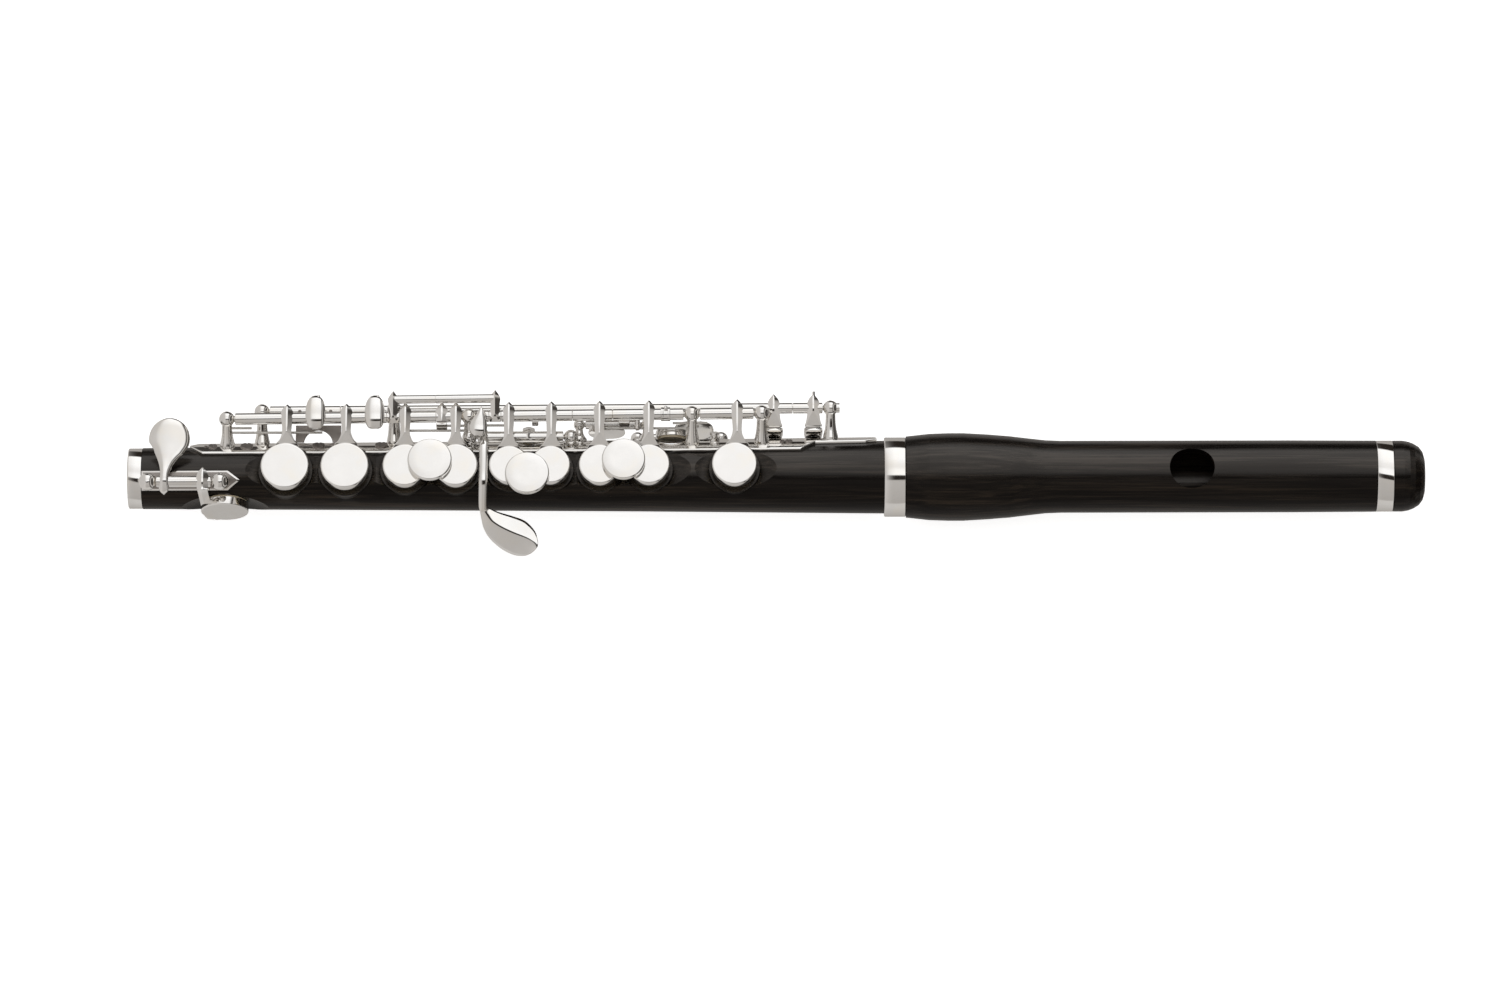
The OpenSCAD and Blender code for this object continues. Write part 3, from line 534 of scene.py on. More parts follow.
# Pointed arch over a tube: length, half width, height of its crest over the rod, half width of its ridge
GOTHIC_LEN = 3.45
GOTHIC_HALF = 1.5
CREST = TUBE_R + 0.45
RIDGE = 0.2
# Fall of the fork onto the cup
FORK_FALL = math.tan(math.radians(29))
# Each key: name, joint, ends of its tube and its cups. Each cup: pad node, a place near the pad if the node
# holds two pads, and the distance of the arm from the middle of the cup
ROW_KEYS = [
    ("d", "d_press", (26.95, 46.9), [("d_pad", None, 0.4)]),
    ("e", "e_press", (47, 64.7), [("e_pad", None, 0.3)]),
    ("f", "f_press", (68, 77), [("f_pad", None, 0.05)]),
    ("f_sharp", "f_sharp_close", (77.1, 83.15), [("f_sharp_pad", None, 0.0)]),
    ("g", "g_press", (93.3, 111), [("g_pads", 95.3, -0.1), ("g_pads", 105.6, 0.2)]),
    ("a", "a_press", (111.1, 121), [("a_pad", None, -0.1)]),
    ("b_flat", "b_flat_close", (121.1, 138.7), [("b_flat_pad", None, 0.0)]),
    ("c", "c_press", (142.85, 156.15), [("c_pad", None, 0.7)]),
]


def gothic(hub, crest):
    """The first controls of an arm that starts in a pointed arch over its tube, with its tip towards +Y."""
    return [
        (Vector((hub.x, hub.y + GOTHIC_LEN, crest - 0.95)), 0.03, 0.01),
        (Vector((hub.x, hub.y + GOTHIC_LEN * 0.86, crest - 0.6)), 0.5, RIDGE * 0.4),
        (Vector((hub.x, hub.y + GOTHIC_LEN * 0.64, crest - 0.26)), 1.08, RIDGE * 0.8),
        (Vector((hub.x, hub.y + GOTHIC_LEN * 0.36, crest - 0.06)), GOTHIC_HALF * 0.97, RIDGE),
        (Vector((hub.x, hub.y + 0.1, crest)), GOTHIC_HALF, RIDGE),
    ]


def row_arm(bm, hinge, cup, x):
    """An arm of a top-row key: an arch over the tube, a waist, and a ridge that forks onto the cup."""
    hub = hinge.at(x)
    crest = hub.z + CREST
    r = cup.radius
    lid = cup.lid
    fork = max(lid + 0.85, crest - 0.2)
    under = lid - 0.55
    split = min(r - 0.2 + (fork - under) / FORK_FALL, hub.y - 2.2)
    end = fork - (split - r + 0.2) * FORK_FALL
    ridged(bm, gothic(hub, crest) + [
        (Vector((x, mix(hub.y, split, 0.55), mix(crest, fork, 0.45))), 1.22, RIDGE),
        (Vector((x, split, fork)), 1.14, RIDGE * 0.5),
        (Vector((x, mix(split, r, 0.25), mix(fork, end, 0.25))), 1.22, 0.55),
        (Vector((x, mix(split, r, 0.55), mix(fork, end, 0.55))), 1.55, 1.22),
        (Vector((x, mix(split, r, 0.8), mix(fork, end, 0.8))), 2.02, 1.82),
        (Vector((x, r, end)), 2.7, 2.52), (Vector((x, r - 0.7, end - 0.3)), 3.1, 2.95)
    ], pitch=0.42)


def finger_key(name, joint, tube, cups):
    """A key of the top row: its tube, and a cup and an arm for each pad."""
    hinge = Hinge(joint, True)
    bm = bmesh.new()
    hinge.tube(bm, *tube)
    for pad_node, near, arm_shift in cups:
        cup = Cup(pad_node, hinge, near=near)
        cup.shell(bm)
        row_arm(bm, hinge, cup, cup.x + arm_shift)
    bm.transform(hinge.opening())
    add_piece(f"key_{name}", bm, "silver", name, f"{name}_key")


def finger_disc(name):
    """A raised disc touch with a flat face, a softened rim and a short stem."""
    node = f"{name}_touch"
    hinge = Hinge(f"{name}_press", True)
    closing = hinge.closing()
    points = [closing @ (vertex.co / MM) for vertex in NODES[node].data.vertices]
    low = Vector(map(min, zip(*points)))
    high = Vector(map(max, zip(*points)))
    r = (high.x - low.x) / 2
    foot = [point for point in points if point.z < low.z + 0.01]
    stem = sum(foot, Vector()) / len(foot)
    bm = bmesh.new()
    top = high.z
    under = low.z + 0.35
    lathe(bm, [
        (top + 0.01, 0), (top + 0.008, r * 0.55), (top, r - 0.32), (top - 0.02, r - 0.24),
        (top - 0.07, r - 0.15), (top - 0.14, r - 0.08), (top - 0.24, r - 0.03), (top - 0.38, r),
        (under + 0.5, r), (under + 0.25, r - 0.06), (under + 0.08, r - 0.2), (under, r - 0.45), (under, 0)
    ], Vector(((low.x + high.x) / 2, (low.y + high.y) / 2, 0)), UP, 96)
    lathe(bm, [(low.z, 0), (low.z, 1.6), (low.z + 0.12, 1.45), (under + 0.1, 1.3), (under + 0.1, 0)],
          Vector((stem.x, stem.y, 0)), UP, 32)
    bm.transform(hinge.opening())
    add_piece(f"touch_{name}", bm, "silver", name, node)


def build_top_row():
    for key in ROW_KEYS:
        finger_key(*key)
    for name in "fga":
        finger_disc(name)



LUG_HALF = 0.4


def lug(bm, x, half, y, low, high):
    """A small flat tab with softened corners that hangs from a tube. y is the middle of its thickness."""
    controls = []
    for i in range(9):
        width = half * (1 if 0 < i < 8 else 0.92)
        controls.append((Vector((x, y, mix(high, low, i / 8))), width, LUG_HALF, LUG_HALF))
    pebble(bm, controls, Vector((0, -1, 0.3)), 2, 8.0, 32)


def build_regulation_lugs():
    """Pointed clamps and flat tabs along the main rod that pass the motion from key to key."""
    hinge = Hinge("f_sharp_close", True)
    bm = bmesh.new()
    hub = hinge.at(78.5)
    crest = hub.z + CREST
    ridged(bm, gothic(hub, crest) + [(Vector((hub.x, hub.y - 1.7, crest - 0.5)), 1.45, 0)])
    lug(bm, 78.4, 1.35, hub.y - 1.9, hub.z - 3.6, hub.z + 0.4)
    bm.transform(hinge.opening())
    add_piece("clamp_f_sharp", bm, "silver", "f_sharp")
    hinge = Hinge("g_press", True)
    bm = bmesh.new()
    hub = hinge.at(101.7)
    lug(bm, 101.7, 0.8, hub.y - 1.3, hub.z - 2.6, hub.z - 0.6)
    bm.transform(hinge.opening())
    add_piece("tab_g", bm, "silver", "g")
    hinge = Hinge("b_flat_close", True)
    bm = bmesh.new()
    hub = hinge.at(124.4)
    lug(bm, 123.9, 1.4, hub.y - 1.5, hub.z - 4.2, hub.z - 0.5)
    lathe(bm, [
        (1.2, 0), (1.2, 0.55), (2.6, 0.55), (2.7, 0.8), (3.4, 0.8), (3.5, 0.55), (4.0, 0.5), (4.05, 0)
    ], hinge.at(127.2), Vector((0, -0.8, -0.6)), 32)
    bm.transform(hinge.opening())
    add_piece("tab_b_flat", bm, "silver", "b_flat")


# ---------------------------------------------------------------- side keys

def build_d_sharp_key():
    """The foot key: teardrop touch, hinge tube, and a pointed arm that curls round to the side cup."""
    hinge = Hinge("d_sharp_press")
    bm = bmesh.new()
    hinge.tube(bm, 7.65, 21.15, 1.45, SMALL_BORE)
    cup = Cup("d_sharp_pad", hinge, D_SHARP_ANGLE)
    cup.shell(bm)
    hub = hinge.at(19.15)
    crest = hub.z + CREST
    wall = cup.at(cup.lid - 0.9, cup.radius)
    arm = gothic(hub, crest) + [
        (Vector((hub.x, hub.y - 1.7, crest - 0.55)), 1.4, RIDGE),
        (Vector((hub.x + 0.1, hub.y - 3.1, crest - 2.0)), 1.25, 0.3),
        (Vector((hub.x + 0.7, wall.y + 0.1, wall.z + 1.5)), 1.3, 0.4),
        (Vector((hub.x + 2.2, wall.y + 0.3, wall.z + 0.45)), 1.45, 0.6),
        (Vector((hub.x + 4.2, wall.y + 0.5, wall.z + 0.15)), 1.3, 0.7)
    ]
    # The top of the arm faces up for its first half and then leans over, eighth by eighth
    leans = [UP, UP, Vector((0, -0.5, 0.8)), Vector((0, -0.8, 0.55)), Vector((0, -0.8, 0.6)),
             Vector((0, -0.6, 0.8))]
    last = (len(arm) - 1) * ARM_STEPS
    outward = [leans[min(len(leans) - 1, max(0, int((i / last - 0.25) * 8)))] for i in range(last + 1)]
    ridged(bm, arm, outward, pitch=0.4, depth=0.8)
    head_x = 10.7
    head_rise = 9.9
    head_r = 5.1
    spine = []
    for degrees in (6, 18, 34, 52, 70, 88, 105):
        a = math.radians(degrees)
        spine.append((seen_at(head_x, head_rise + head_r * math.cos(a), 10.55), head_r * math.sin(a),
                      1.15 * min(1.0, 0.3 + math.sin(a)), 0.45))
    spine += [
        (seen_at(10.55, 7.2, 10.65), 4.1, 1.1, 0.45), (seen_at(10.3, 5.9, 10.75), 3.25, 1.05, 0.45),
        (seen_at(10.1, 4.5, 10.9), 2.35, 0.95, 0.5), (seen_at(9.9, 2.9, 11.2), 1.6, 0.85, 0.55),
        (seen_at(9.7, 1.2, 11.6), 1.12, 0.75, 0.6), (seen_at(9.6, -0.4, 11.75), 1.1, 0.7, 0.7),
        (seen_at(9.55, -2.0, 11.1), 1.3, 0.6, 0.8), (seen_at(9.5, -3.0, 10.2), 1.05, 0.6, 0.7),
        (seen_at(9.5, -3.9, 9.3), 0.1, 0.3, 0.3)
    ]
    pebble(bm, spine, square=2.25)
    add_piece("key_d_sharp", bm, "silver", "d_sharp", "d_sharp_key")


# Half width of the face of the D sharp plate
PLATE_FACE = 1.92
# G sharp spoon: slope and height of its plane, fall of its facets, softness of its crease, depth of its lip
SPOON_SLOPE = math.radians(20)
SPOON_LEVEL = 11.1
SPOON_OUT = Vector((0, -math.sin(SPOON_SLOPE), math.cos(SPOON_SLOPE)))
UPPER_FALL = math.tan(math.radians(15))
LOWER_FALL = math.tan(math.radians(9))
CREASE = 0.3
LIP = 0.4


def build_d_sharp_plate_face():
    """A thin darker shell over the face of the D sharp plate, inside its bright edge."""
    start = 4.05
    tip = 27.6
    shoulder = 24.9
    middle = -2.7
    rings = []
    steps = 60
    for i in range(steps + 1):
        x = mix(start, tip, i / steps)
        half = PLATE_FACE * min(1.0, (tip - x) / (tip - shoulder)) + 0.01
        low = interpolate(WOOD_RADII, x) + 0.5
        edges = [middle + half * (-1 + 2 * j / 8) for j in range(9)]
        top = [Vector((x, y, math.sqrt((low + 0.07) ** 2 - y * y))) for y in edges]
        rings.append(top + [Vector((x, y, math.sqrt(low ** 2 - y * y))) for y in reversed(edges)])
    bm = bmesh.new()
    loft(bm, rings)
    add_piece("plate_face_d_sharp", bm, "screw_steel", "body")


def spoon_at(x, rise):
    """A point on the sloping plane of the G sharp spoon."""
    slope = math.tan(SPOON_SLOPE)
    y = (rise - SPOON_LEVEL * IMAGE_UP.z) / (IMAGE_UP.y + slope * IMAGE_UP.z)
    return Vector((x, y, SPOON_LEVEL + slope * y))


def spoon(bm, stations):
    """A creased spoon. Stations: place and rise of its lower edge, of its crease and of its upper edge."""
    across = 16
    rings = []
    for lower_x, lower_rise, crease_x, crease_rise, upper_x, upper_rise in curve_points(stations, 8):
        crease = spoon_at(crease_x, crease_rise)
        upper = spoon_at(upper_x, upper_rise) - crease
        lower = spoon_at(lower_x, lower_rise) - crease
        wide = min(1.0, (upper.length + lower.length) / 3)
        top = []
        under = []
        for i in range(across + 1):
            share = 1 - 2 * i / across
            edge, slope = (upper, UPPER_FALL) if share > 0 else (lower, LOWER_FALL)
            reach = edge * abs(share)
            fall = slope * (math.sqrt(reach.length_squared + CREASE ** 2) - CREASE)
            lip = LIP * wide * (1 - math.sqrt(max(0.0, 1 - (max(0.0, abs(share) - 0.9) / 0.1) ** 2)))
            top.append(crease + reach - SPOON_OUT * (fall + lip))
            thick = LIP * wide + 0.45 * wide * math.sqrt(1 - share * share)
            under.append(crease + reach - SPOON_OUT * (fall + thick))
        rings.append(top + under[-2:0:-1])
    loft(bm, rings)


def build_g_sharp_key():
    """The little-finger key: hinge tube, back cup, and a long lever that widens into a creased spoon."""
    hinge = Hinge("g_sharp_press")
    bm = bmesh.new()
    hinge.tube(bm, 87.4, 108.7, 1.4, SMALL_BORE)
    cup = Cup("g_sharp_pad", hinge, G_SHARP_ANGLE)
    cup.shell(bm)
    hub = hinge.at(cup.x)
    ridged(bm, [
        (hub + Vector((0, -0.7, 1.5)), 1.25, 0), (hub + Vector((0, 1.0, 1.35)), 1.3, 0),
        (hub + Vector((0, 2.6, -0.4)), 1.3, 0.1), (hub + Vector((0, 3.3, -3.0)), 1.5, 0.5),
        (cup.at(cup.lid + 0.6, -0.6), 1.6, 0.6)
    ], Vector((0, 1, 0.7)).normalized(), pitch=0.35, depth=0.8)
    hub = hinge.at(88.95)
    pebble(bm, [
        (hub + Vector((0, 1.5, 0.6)), 0.9, 0.45, 0.5), (hub + Vector((0, -0.7, 1.6)), 1.0, 0.5, 0.5),
        (Vector((88.95, 5.0, 10.35)), 1.1, 0.62, 0.5), (Vector((88.95, 0, 10.7)), 1.15, 0.62, 0.5),
        (Vector((88.85, -4.4, 10.2)), 1.12, 0.6, 0.5), (spoon_at(88.75, -6.9), 1.0, 0.5, 0.5),
        (spoon_at(89.1, -8.4), 0.8, 0.1, 0.5)
    ], Vector((0, -0.2, 0.98)), 7, 2.1)
    spoon(bm, [
        (87.8, -6.4, 88.75, -6.4, 89.75, -6.4), (88.0, -8.2, 89.0, -7.8, 90.1, -7.4),
        (88.3, -10.0, 89.6, -9.0, 91.0, -7.9), (88.9, -12.6, 91.0, -10.8, 93.3, -8.8),
        (90.4, -15.2, 93.3, -12.3, 96.3, -9.7), (93.3, -17.8, 96.3, -13.7, 99.3, -10.9),
        (96.3, -19.3, 99.2, -14.8, 101.5, -13.1), (98.8, -19.6, 101.0, -15.8, 102.3, -15.0),
        (100.4, -19.1, 101.8, -16.6, 102.5, -16.3), (101.4, -18.4, 102.1, -17.2, 102.4, -17.0),
        (101.9, -17.9, 102.15, -17.5, 102.25, -17.4)
    ])
    add_piece("key_g_sharp", bm, "silver", "g_sharp", "g_sharp_key")


def build_bridge():
    """The raised bridge tube with its two pointed feet clamped on the main line."""
    hinge = Hinge("b_flat_close")
    rise = Vector((0, 4.2, 1.3))
    radius = 1.07
    bm = bmesh.new()
    for start, end in ((64.8, 67.9), (90.3, 93.2)):
        hinge.tube(bm, start, end)
        hub = hinge.at((start + end) / 2)
        ridged(bm, [
            (hub + Vector((0, -1.75, 0.9)), 1.25, 0.9), (hub + Vector((0, -0.9, 1.6)), 1.3, 0.55),
            (hub + Vector((0, 0.2, 1.95)), 1.25, 0.02), (hub + Vector((0, 2.0, 2.3)), 1.1, 0),
            (hub + rise + Vector((0, 0, 1.25)), 1.3, 0), (hub + rise + Vector((0, 1.2, 0.85)), 0.85, 0),
            (hub + rise + Vector((0, 2.2, 0.1)), 0.05, 0)
        ], pitch=0.55)
    start = hinge.at(65.9) + rise
    length = (hinge.at(92.1) + rise - start).length
    joint_line = length * 0.42
    lathe(bm, [
        (0, 0), (0, radius - 0.1), (0.1, radius), (joint_line - 0.08, radius),
        (joint_line - 0.03, radius - 0.1), (joint_line + 0.03, radius - 0.1),
        (joint_line + 0.08, radius + 0.03), (length - 0.1, radius + 0.03), (length, radius - 0.1), (length, 0)
    ], start, hinge.axis, 40)
    add_piece("bridge_b_flat", bm, "silver", "b_flat", "b_flat_bridge")


def build_b_flat_lever():
    """The small pointed lever between the hands, with a domed leaf-shaped touch."""
    hinge = Hinge("b_flat_close")
    bm = bmesh.new()
    hinge.tube(bm, 87.25, 90.2)
    hub = hinge.at(88.5)
    lathe(bm, [(1.2, 0), (1.2, 1.3), (1.9, 0.95), (2.6, 0.95), (2.6, 0)], hub, Vector((0, -0.35, 0.937)), 32)
    pebble(bm, [
        (seen_at(88.4, 17.8, 11.9), 0.05, 0.1, 0.2), (seen_at(88.35, 16.9, 12.0), 0.55, 0.5, 0.3),
        (seen_at(88.25, 15.9, 12.05), 1.0, 0.8, 0.35), (seen_at(88.0, 14.5, 12.1), 1.72, 0.95, 0.35),
        (seen_at(87.7, 13.1, 12.1), 2.2, 1.0, 0.35), (seen_at(87.5, 11.8, 12.0), 2.2, 0.9, 0.35),
        (seen_at(87.35, 10.9, 11.9), 1.6, 0.6, 0.3), (seen_at(87.3, 10.5, 11.85), 0.9, 0.35, 0.25),
        (seen_at(87.3, 10.35, 11.85), 0.2, 0.1, 0.1)
    ], square=2.2)
    add_piece("lever_b_flat", bm, "silver", "b_flat", "b_flat_lever")


def trill_touch(bm, hinge, x):
    """A barrel-shaped trill touch over the main rod, on a curved stem that rises from the trill tube."""
    hub = hinge.at(x)
    ridged(bm, [
        (hub + Vector((0, -1.0, 1.3)), 1.3, 0.3), (hub + Vector((0, 1.0, 1.5)), 1.35, 0.3),
        (Vector((x, hub.y + 2.1, hub.z + 2.4)), 1.2, 0.3), (Vector((x, hub.y + 1.9, hub.z + 4.6)), 1.1, 0.3),
        (seen_at(x, 19.0, 12.0), 0.9, 0.3)
    ], Vector((0, 1, 0.35)).normalized(), pitch=0.3, depth=0.7)
    pebble(bm, [
        (seen_at(x, 20.5, 11.2), 0.5, 0.2, 0.2), (seen_at(x, 20.1, 11.4), 1.25, 0.6, 0.4),
        (seen_at(x, 19.2, 11.65), 1.95, 0.95, 0.45), (seen_at(x, 17.7, 11.85), 2.38, 1.15, 0.45),
        (seen_at(x, 16.0, 11.9), 2.48, 1.2, 0.45), (seen_at(x, 14.4, 11.75), 2.38, 1.1, 0.45),
        (seen_at(x, 13.3, 11.5), 2.05, 0.85, 0.4), (seen_at(x, 12.6, 11.3), 1.6, 0.5, 0.35),
        (seen_at(x, 12.25, 11.15), 0.9, 0.15, 0.15)
    ], square=2.5)
    lathe(bm, [(-0.42, 0), (-0.36, 0.24), (-0.18, 0.38), (0, 0.42), (0.18, 0.38), (0.36, 0.24), (0.42, 0)],
          seen_at(x + 0.7, 20.4, 11.6), UP, 24)


def trill_arm(bm, hinge, cup):
    """The arm of a trill key: a pointed arch, a flat skirt towards the body and a leg down to the cup."""
    hub = hinge.at(cup.x)
    crest = hub.z + CREST - 0.15
    arm = gothic(hub, crest) + [
        (Vector((hub.x, hub.y - 1.3, crest - 0.35)), 1.5, 0.25),
        (Vector((hub.x, hub.y - 2.4, crest - 1.0)), 1.58, 0.9),
        (Vector((hub.x, hub.y - 3.7, crest - 1.85)), 1.82, 1.5),
        (Vector((hub.x, hub.y - 4.7, crest - 2.9)), 2.2, 1.95),
        (Vector((hub.x, hub.y - 4.9, crest - 5.2)), 2.3, 2.0),
        (cup.at(cup.lid + 1.5, 2.6), 2.1, 1.7),
        (cup.at(cup.lid + 0.7, 0.8), 1.9, 1.4), (cup.at(cup.lid + 0.45, -1.4), 1.2, 0.8)
    ]
    # The arch and skirt face up, leaning to the front. The leg turns to face out over the cup
    last = (len(arm) - 1) * ARM_STEPS
    outward = []
    for i in range(last + 1):
        along_leg = (i / last - 0.58) / 0.42
        outward.append(outward_at(-24 if along_leg < 0 else TRILL_ANGLE * min(1.0, along_leg)))
    ridged(bm, arm, outward, pitch=0.42, depth=0.8)


def build_trill_keys():
    """Both trill keys: touches by the right hand, one long tube line and two cups at the back of the body."""
    for name, tubes, touch_x, pins in (
            ("trill_d", [(53.1, 165.9)], 61.8, ()),
            ("trill_d_sharp", [(35.4, 53), (166, 173.4)], 47.05, (42.9, 50.6))):
        hinge = Hinge(f"{name}_press")
        bm = bmesh.new()
        for start, end in tubes:
            hinge.tube(bm, start, end, TRILL_TUBE_R, SMALL_BORE)
        if pins:
            dots = bmesh.new()
            for pin_x in pins:
                lathe(dots, [(1.2, 0.42), (1.5, 0.42), (1.58, 0.3), (1.6, 0)], hinge.at(pin_x), VIEW, 20)
            add_piece(f"pins_{name}", dots, "screw_steel", name)
        trill_touch(bm, hinge, touch_x)
        cup = Cup(f"{name}_pad", hinge, TRILL_ANGLE)
        cup.shell(bm)
        trill_arm(bm, hinge, cup)
        if name == "trill_d_sharp":
            pin = [(1.5, 0.34), (2.55, 0.34), (2.65, 0.24), (2.67, 0)]
            lathe(bm, pin, hinge.at(171.2, 1.6), IMAGE_UP, 20)
        add_piece(f"key_{name}", bm, "silver", name, f"{name}_key")


def back_touch(bm, x, degrees, height, shift, half_round, half_along):
    """A smooth oval touch for the thumb, at an angle round the body."""
    out = outward_at(degrees)
    up = outward_at(degrees - 90)
    controls = []
    for lean in (-88, -71, -48, -24, 0, 24, 48, 71, 88):
        s = math.radians(lean)
        place = X_AXIS * x + out * (height + 0.22 * math.cos(s)) + up * (shift + half_round * math.sin(s))
        shrink = math.cos(s) ** 0.45
        controls.append((place, half_along * shrink + 0.05, 0.75 * shrink + 0.05, 0.4))
    pebble(bm, controls, out, 4, 2.5)


def build_thumb_keys():
    """The thumb key with its cup, and the small B flat lever beside it, both at the back of the body."""
    hinge = Hinge("thumb_press", True)
    bm = bmesh.new()
    hinge.tube(bm, 128.8, 146.2, 1.2, SMALL_BORE)
    cup = Cup("thumb_pad", hinge, THUMB_ANGLE)
    cup.shell(bm)
    back = Vector((0, 1, 0.05)).normalized()
    for x, end, half in ((cup.x, cup.at(cup.lid + 0.45, 0.4), 1.5), (141.2, Vector((141.2, 12.9, 0.6)), 1.3)):
        hub = hinge.at(x)
        ridged(bm, [
            (hub + Vector((0, 0.2, -2.2)), 0.05, 0), (hub + Vector((0, 1.2, -1.3)), 1.1, 0),
            (hub + Vector((0, 1.65, 0)), 1.3, 0), (hub + Vector((0, 1.5, 2.2)), 1.1, 0.05),
            (mix(hub, end, 0.7) + Vector((0, 0.8, 0)), 1.2, 0.2), (end, half, 0.4)
        ], back, pitch=0.4, depth=0.7)
    back_touch(bm, 141.2, 100, 12.3, 0, 3.6, 4.9)
    bm.transform(hinge.opening())
    add_piece("key_thumb", bm, "silver", "thumb", "thumb_key")
    hinge = Hinge("thumb_b_flat_press")
    bm = bmesh.new()
    hinge.tube(bm, 114.2, 127.8, 1.1, SMALL_BORE)
    for x, reach, half in ((119.4, (0.4, -4.6), 1.1), (115.9, (-2.4, 2.3), 0.7)):
        hub = hinge.at(x)
        ridged(bm, [
            (hub + Vector((0, 0.7, -math.copysign(1.6, reach[1]))), 0.05, 0),
            (hub + Vector((0, 1.45, 0)), 1.15, 0),
            (hub + Vector((0, mix(1.4, reach[0], 0.5), reach[1] * 0.5)), 0.95, 0),
            (hub + Vector((0, *reach)), half, 0.2)
        ], back, pitch=0.4, depth=0.6)
    back_touch(bm, 119.4, 98, 11.9, 0.6, 2.9, 4.6)
    add_piece("lever_thumb_b_flat", bm, "silver", "thumb_b_flat", "thumb_b_flat_lever")


def build_collar():
    """The pinned collar that ties the B flat tube to its rod."""
    hinge = Hinge("b_flat_close")
    bm = bmesh.new()
    lathe(bm, [
        (0, TUBE_R + 0.01), (0, 1.66), (0.1, 1.76), (0.5, 1.76), (0.6, 1.7), (1.7, 1.7), (1.8, 1.76),
        (2.2, 1.76), (2.3, 1.66), (2.3, TUBE_R + 0.01)
    ], hinge.at(133.1), hinge.axis, 48, closed=True)
    lathe(bm, [(1.5, 0.4), (2.0, 0.36), (2.25, 0.5), (2.5, 0.42), (2.62, 0.2), (2.65, 0)], hinge.at(134.3),
          Vector((0, 0.5, 0.866)), 24)
    add_piece("collar_b_flat", bm, "silver", "b_flat")


# ---------------------------------------------------------------- rib strap

# Strap: thickness, rounding of its edges, angles that its front and back edge stay between, room round the
# cups in front and behind, and distance between cross-sections
STRAP_THICK = 0.9
STRAP_EDGE = 0.34
STRAP_FRONT = math.radians(31)
STRAP_BACK = math.radians(82)
SEAT_MARGIN = 0.85
BACK_MARGIN = 0.58
STRAP_STEP = 0.4


def front_hollows():
    """Place and reach of the hollow round each cup of the top row."""
    hollows = []
    for _, joint, _, cups in ROW_KEYS:
        for pad_node, near, _ in cups:
            cup = Cup(pad_node, Hinge(joint, True), near=near)
            hollows.append((cup.x, cup.radius + SEAT_MARGIN))
    return hollows


def back_hollows():
    """Place, angle and reach of the hollow round the thumb cup and the G sharp cup."""
    thumb = Cup("thumb_pad", Hinge("thumb_press", True), THUMB_ANGLE)
    g_sharp = Cup("g_sharp_pad", Hinge("g_sharp_press"), G_SHARP_ANGLE)
    return [(cup.x, math.radians(cup.angle), cup.radius + BACK_MARGIN) for cup in (thumb, g_sharp)]


def strap_section(radius, start, end):
    """(angle, height) points across the strap, with its two upper edges rounded."""
    soft = min(STRAP_EDGE, (end - start) * radius * 0.4)
    quarter = [math.pi / 2 * step / 5 for step in range(6)]
    flat_start = start + soft / radius
    flat_end = end - soft / radius
    section = [(start, 0.0)]
    for a in quarter:
        section.append((start + soft * (1 - math.cos(a)) / radius, STRAP_THICK - soft * (1 - math.sin(a))))
    for step in range(1, 8):
        section.append((mix(flat_start, flat_end, step / 8), STRAP_THICK))
    for a in quarter:
        section.append((end - soft * (1 - math.sin(a)) / radius, STRAP_THICK - soft * (1 - math.cos(a))))
    return section + [(end, 0.0)]


def build_strap():
    """The long rib strap: curved to the body, pointed at both ends and hollowed round the cups."""
    low, high = (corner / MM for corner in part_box("rib_strap"))
    # (place, sideways distance from the tone-hole line) of the two long edges
    front = [(low.x, 6.9), (18.8, 4.4), (167.4, 4.7), (171.6, 7.6), (184, 7.9), (high.x, 8.5)]
    back = [(low.x, 7.2), (18, 8.4), (20.5, 20), (183.5, 20), (high.x, 8.7)]
    in_front = front_hollows()
    behind = back_hollows()
    count = int((high.x - low.x) / STRAP_STEP) + 1
    corners = {x for x, _ in front + back if low.x <= x <= high.x}
    rings = []
    for x in sorted({low.x + STRAP_STEP * i for i in range(count)} | corners):
        radius = interpolate(WOOD_RADII, x) + 0.01
        outer = radius + STRAP_THICK
        edge = interpolate(front, x)
        for middle, reach in in_front:
            if abs(x - middle) < reach:
                edge = max(edge, math.sqrt(reach * reach - (x - middle) ** 2))
        start = max(STRAP_FRONT, math.asin(min(0.99, edge / outer)))
        end = min(STRAP_BACK, math.asin(min(1.0, interpolate(back, x) / outer)))
        for middle, angle, reach in behind:
            if abs(x - middle) < reach:
                end = min(end, angle - math.asin(math.sqrt(reach * reach - (x - middle) ** 2) / radius))
        end = max(end, start + 0.06)
        section = strap_section(radius, start, end)
        rings.append([X_AXIS * x + (radius + t) * Vector((0, math.sin(a), math.cos(a))) for a, t in section])
    bm = bmesh.new()
    loft(bm, rings)
    add_piece("strap", bm, "silver", "body", "rib_strap")


# Screws: half width of the slot, and stretch of the bore by which the points of the CAD screws are sorted.
# The first and last screw reach over a border and become two small heads each.
SLOT_HALF = 0.17
SCREW_STRETCH = 8


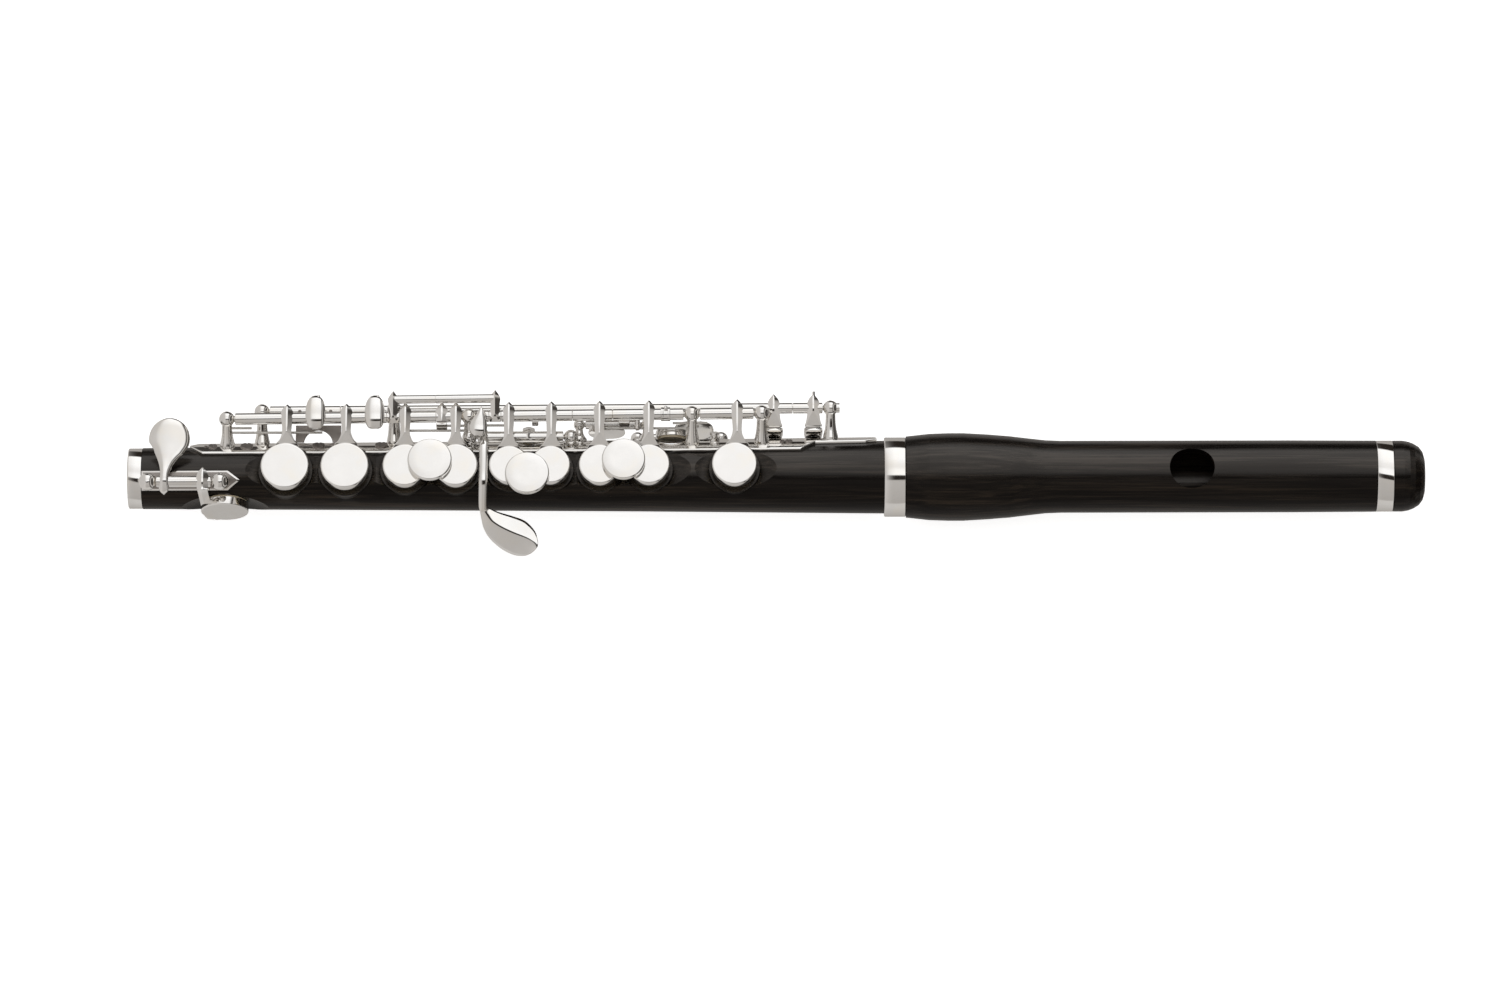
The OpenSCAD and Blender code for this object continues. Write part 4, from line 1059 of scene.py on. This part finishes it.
def build_strap_screws():
    """Flat screw heads with a straight slot: two softened halves over a lower floor."""
    screws = {}
    for vertex in NODES["strap_screws"].data.vertices:
        point = vertex.co / MM
        screws.setdefault(round(point.x / SCREW_STRETCH), []).append(point)
    heads = bmesh.new()
    floors = bmesh.new()
    for points in screws.values():
        xs = [point.x for point in points]
        middle = (min(xs) + max(xs)) / 2
        r = (max(xs) - min(xs)) / 2
        top = max(point.length_squared - (point.x ** 2) for point in points) ** 0.5
        out = sum((Vector((0, point.y, point.z)) for point in points), Vector()).normalized()
        across = X_AXIS.cross(out)
        base = X_AXIS * middle + out * (top - 0.16)
        lathe(floors, [(-0.5, 0), (-0.5, r - 0.1), (0.03, r - 0.1), (0.03, 0)], base, out, 40)
        for sign in (-1, 1):
            rings = []
            for lift, inset in ((-0.4, 0), (0.08, 0), (0.14, 0.03), (0.17, 0.09)):
                level = base + out * lift
                edge = r - inset
                ring = []
                for degrees in range(-82, 83, 6):
                    a = math.radians(degrees)
                    along = sign * max(SLOT_HALF + inset, edge * math.cos(a))
                    ring.append(level + X_AXIS * along + across * edge * math.sin(a))
                rings.append(ring)
            loft(heads, rings)
    add_piece("screw_heads", heads, "screw_steel", "body", "strap_screws")
    add_piece("screw_slots", floors, "screw_steel", "body")


# ---------------------------------------------------------------- light, floor and camera

def make_floor():
    low = CAD_BOX[0][2] - FLOOR_GAP
    size = 6.0
    mesh = bpy.data.meshes.new("floor")
    corners = [(-size, -size, low), (size, -size, low), (size, size, low), (-size, size, low)]
    mesh.from_pydata(corners, [], [(0, 1, 2, 3)])
    floor = bpy.data.objects.new("floor", mesh)
    bpy.context.scene.collection.objects.link(floor)
    mesh.materials.append(make_floor_material())
    floor.visible_glossy = False


def make_world():
    """Soft studio surroundings. Seen along the piccolo: a broad white softbox above and behind, a dark slit
    where the camera stands and grey cards in front. Sideways the light falls off: light grey to the left,
    dark to the right, but for one upright grey panel."""
    world = bpy.data.worlds.new("studio")
    bpy.context.scene.world = world
    world.use_nodes = True
    s = Shader(world.node_tree)
    direction = s.add("ShaderNodeTexCoord").outputs["Generated"]

    def turn(degrees):
        """The place of an angle on a ramp that covers the full turn from -180 to 180 degrees."""
        return 0.5 + degrees / 360

    round_angle = s.math("ARCTAN2", s.dot(direction, IMAGE_UP), s.dot(direction, VIEW))
    bands = s.ramp(s.math("MULTIPLY_ADD", round_angle, 1 / (2 * math.pi), 0.5), [
        (turn(-180), (0.34, 0.32, 0.30)), (turn(-100), (0.60, 0.585, 0.565)),
        (turn(-86), (0.60, 0.585, 0.565)), (turn(-82), (0.43, 0.41, 0.39)),
        (turn(-10), (0.50, 0.48, 0.46)), (turn(-7), DARK), (turn(4), DARK), (turn(7), grey(1.12)),
        (turn(20), grey(1.08)), (turn(30), (0.94, 0.93, 0.92)), (turn(38), (0.96, 0.95, 0.94)),
        (turn(56), grey(1.12)), (turn(94), grey(1.18)), (turn(98), DARK), (turn(129), DARK),
        (turn(133), (0.42, 0.40, 0.38)), (turn(180), (0.34, 0.32, 0.30)),
    ])
    side_angle = s.math("ARCSINE", s.dot(direction, X_AXIS))
    side = s.math("MULTIPLY_ADD", side_angle, 1 / (2 * math.pi), 0.5)
    cards = s.ramp(side, [
        (turn(-90), (0.55, 0.53, 0.51)), (turn(-40), (0.58, 0.56, 0.54)), (turn(-15), (0.62, 0.60, 0.58)),
        (turn(26), (0.04, 0.035, 0.03)), (turn(38), (0.05, 0.045, 0.04)), (turn(41), (0.52, 0.50, 0.48)),
        (turn(49), (0.52, 0.50, 0.48)), (turn(53), (0.05, 0.045, 0.04)), (turn(90), (0.10, 0.095, 0.09)),
    ])
    amount = s.ramp(side, [
        (turn(-90), grey(1.0)), (turn(-24), grey(1.0)), (turn(-14), grey(0.35)), (turn(-5), grey(0.08)),
        (turn(0), grey(0.0)), (turn(24), grey(0.0)), (turn(34), grey(1.0)), (turn(90), grey(1.0)),
    ])
    lit = s.mixed(bands, cards, amount)
    studio = s.add("ShaderNodeBackground", {"Color": lit, "Strength": 1.0})
    backdrop = s.add("ShaderNodeBackground", {"Color": (0.86, 0.86, 0.85, 1), "Strength": 1.0})
    seen = s.add("ShaderNodeLightPath").outputs["Is Camera Ray"]
    surroundings = s.add("ShaderNodeMixShader", {0: seen, 1: studio.outputs[0], 2: backdrop.outputs[0]})
    s.add("ShaderNodeOutputWorld", {"Surface": surroundings.outputs[0]})


def make_camera():
    camera_data = bpy.data.cameras.new("camera")
    camera_data.lens = LENS_MM
    camera_data.sensor_width = SENSOR_MM
    camera_data.clip_end = 50
    camera = bpy.data.objects.new("camera", camera_data)
    bpy.context.scene.collection.objects.link(camera)
    target = Vector((MIDDLE_X, 0, 0)) - DROP_BELOW_AXIS * IMAGE_UP
    camera.location = target + CAMERA_DISTANCE * VIEW
    level = (-VIEW).to_track_quat("-Z", "Y").to_matrix()
    camera.matrix_world = Matrix.Translation(camera.location) @ (
        level @ Matrix.Rotation(-ROLL, 3, "Z")).to_4x4()
    bpy.context.scene.camera = camera


dress_cad_nodes()
build_top_row()
build_d_sharp_key()
build_d_sharp_plate_face()
build_g_sharp_key()
build_bridge()
build_b_flat_lever()
build_trill_keys()
build_thumb_keys()
build_collar()
build_regulation_lugs()
build_strap()
build_strap_screws()
make_floor()
make_world()
make_camera()

bpy.context.scene.view_settings.view_transform = "Standard"
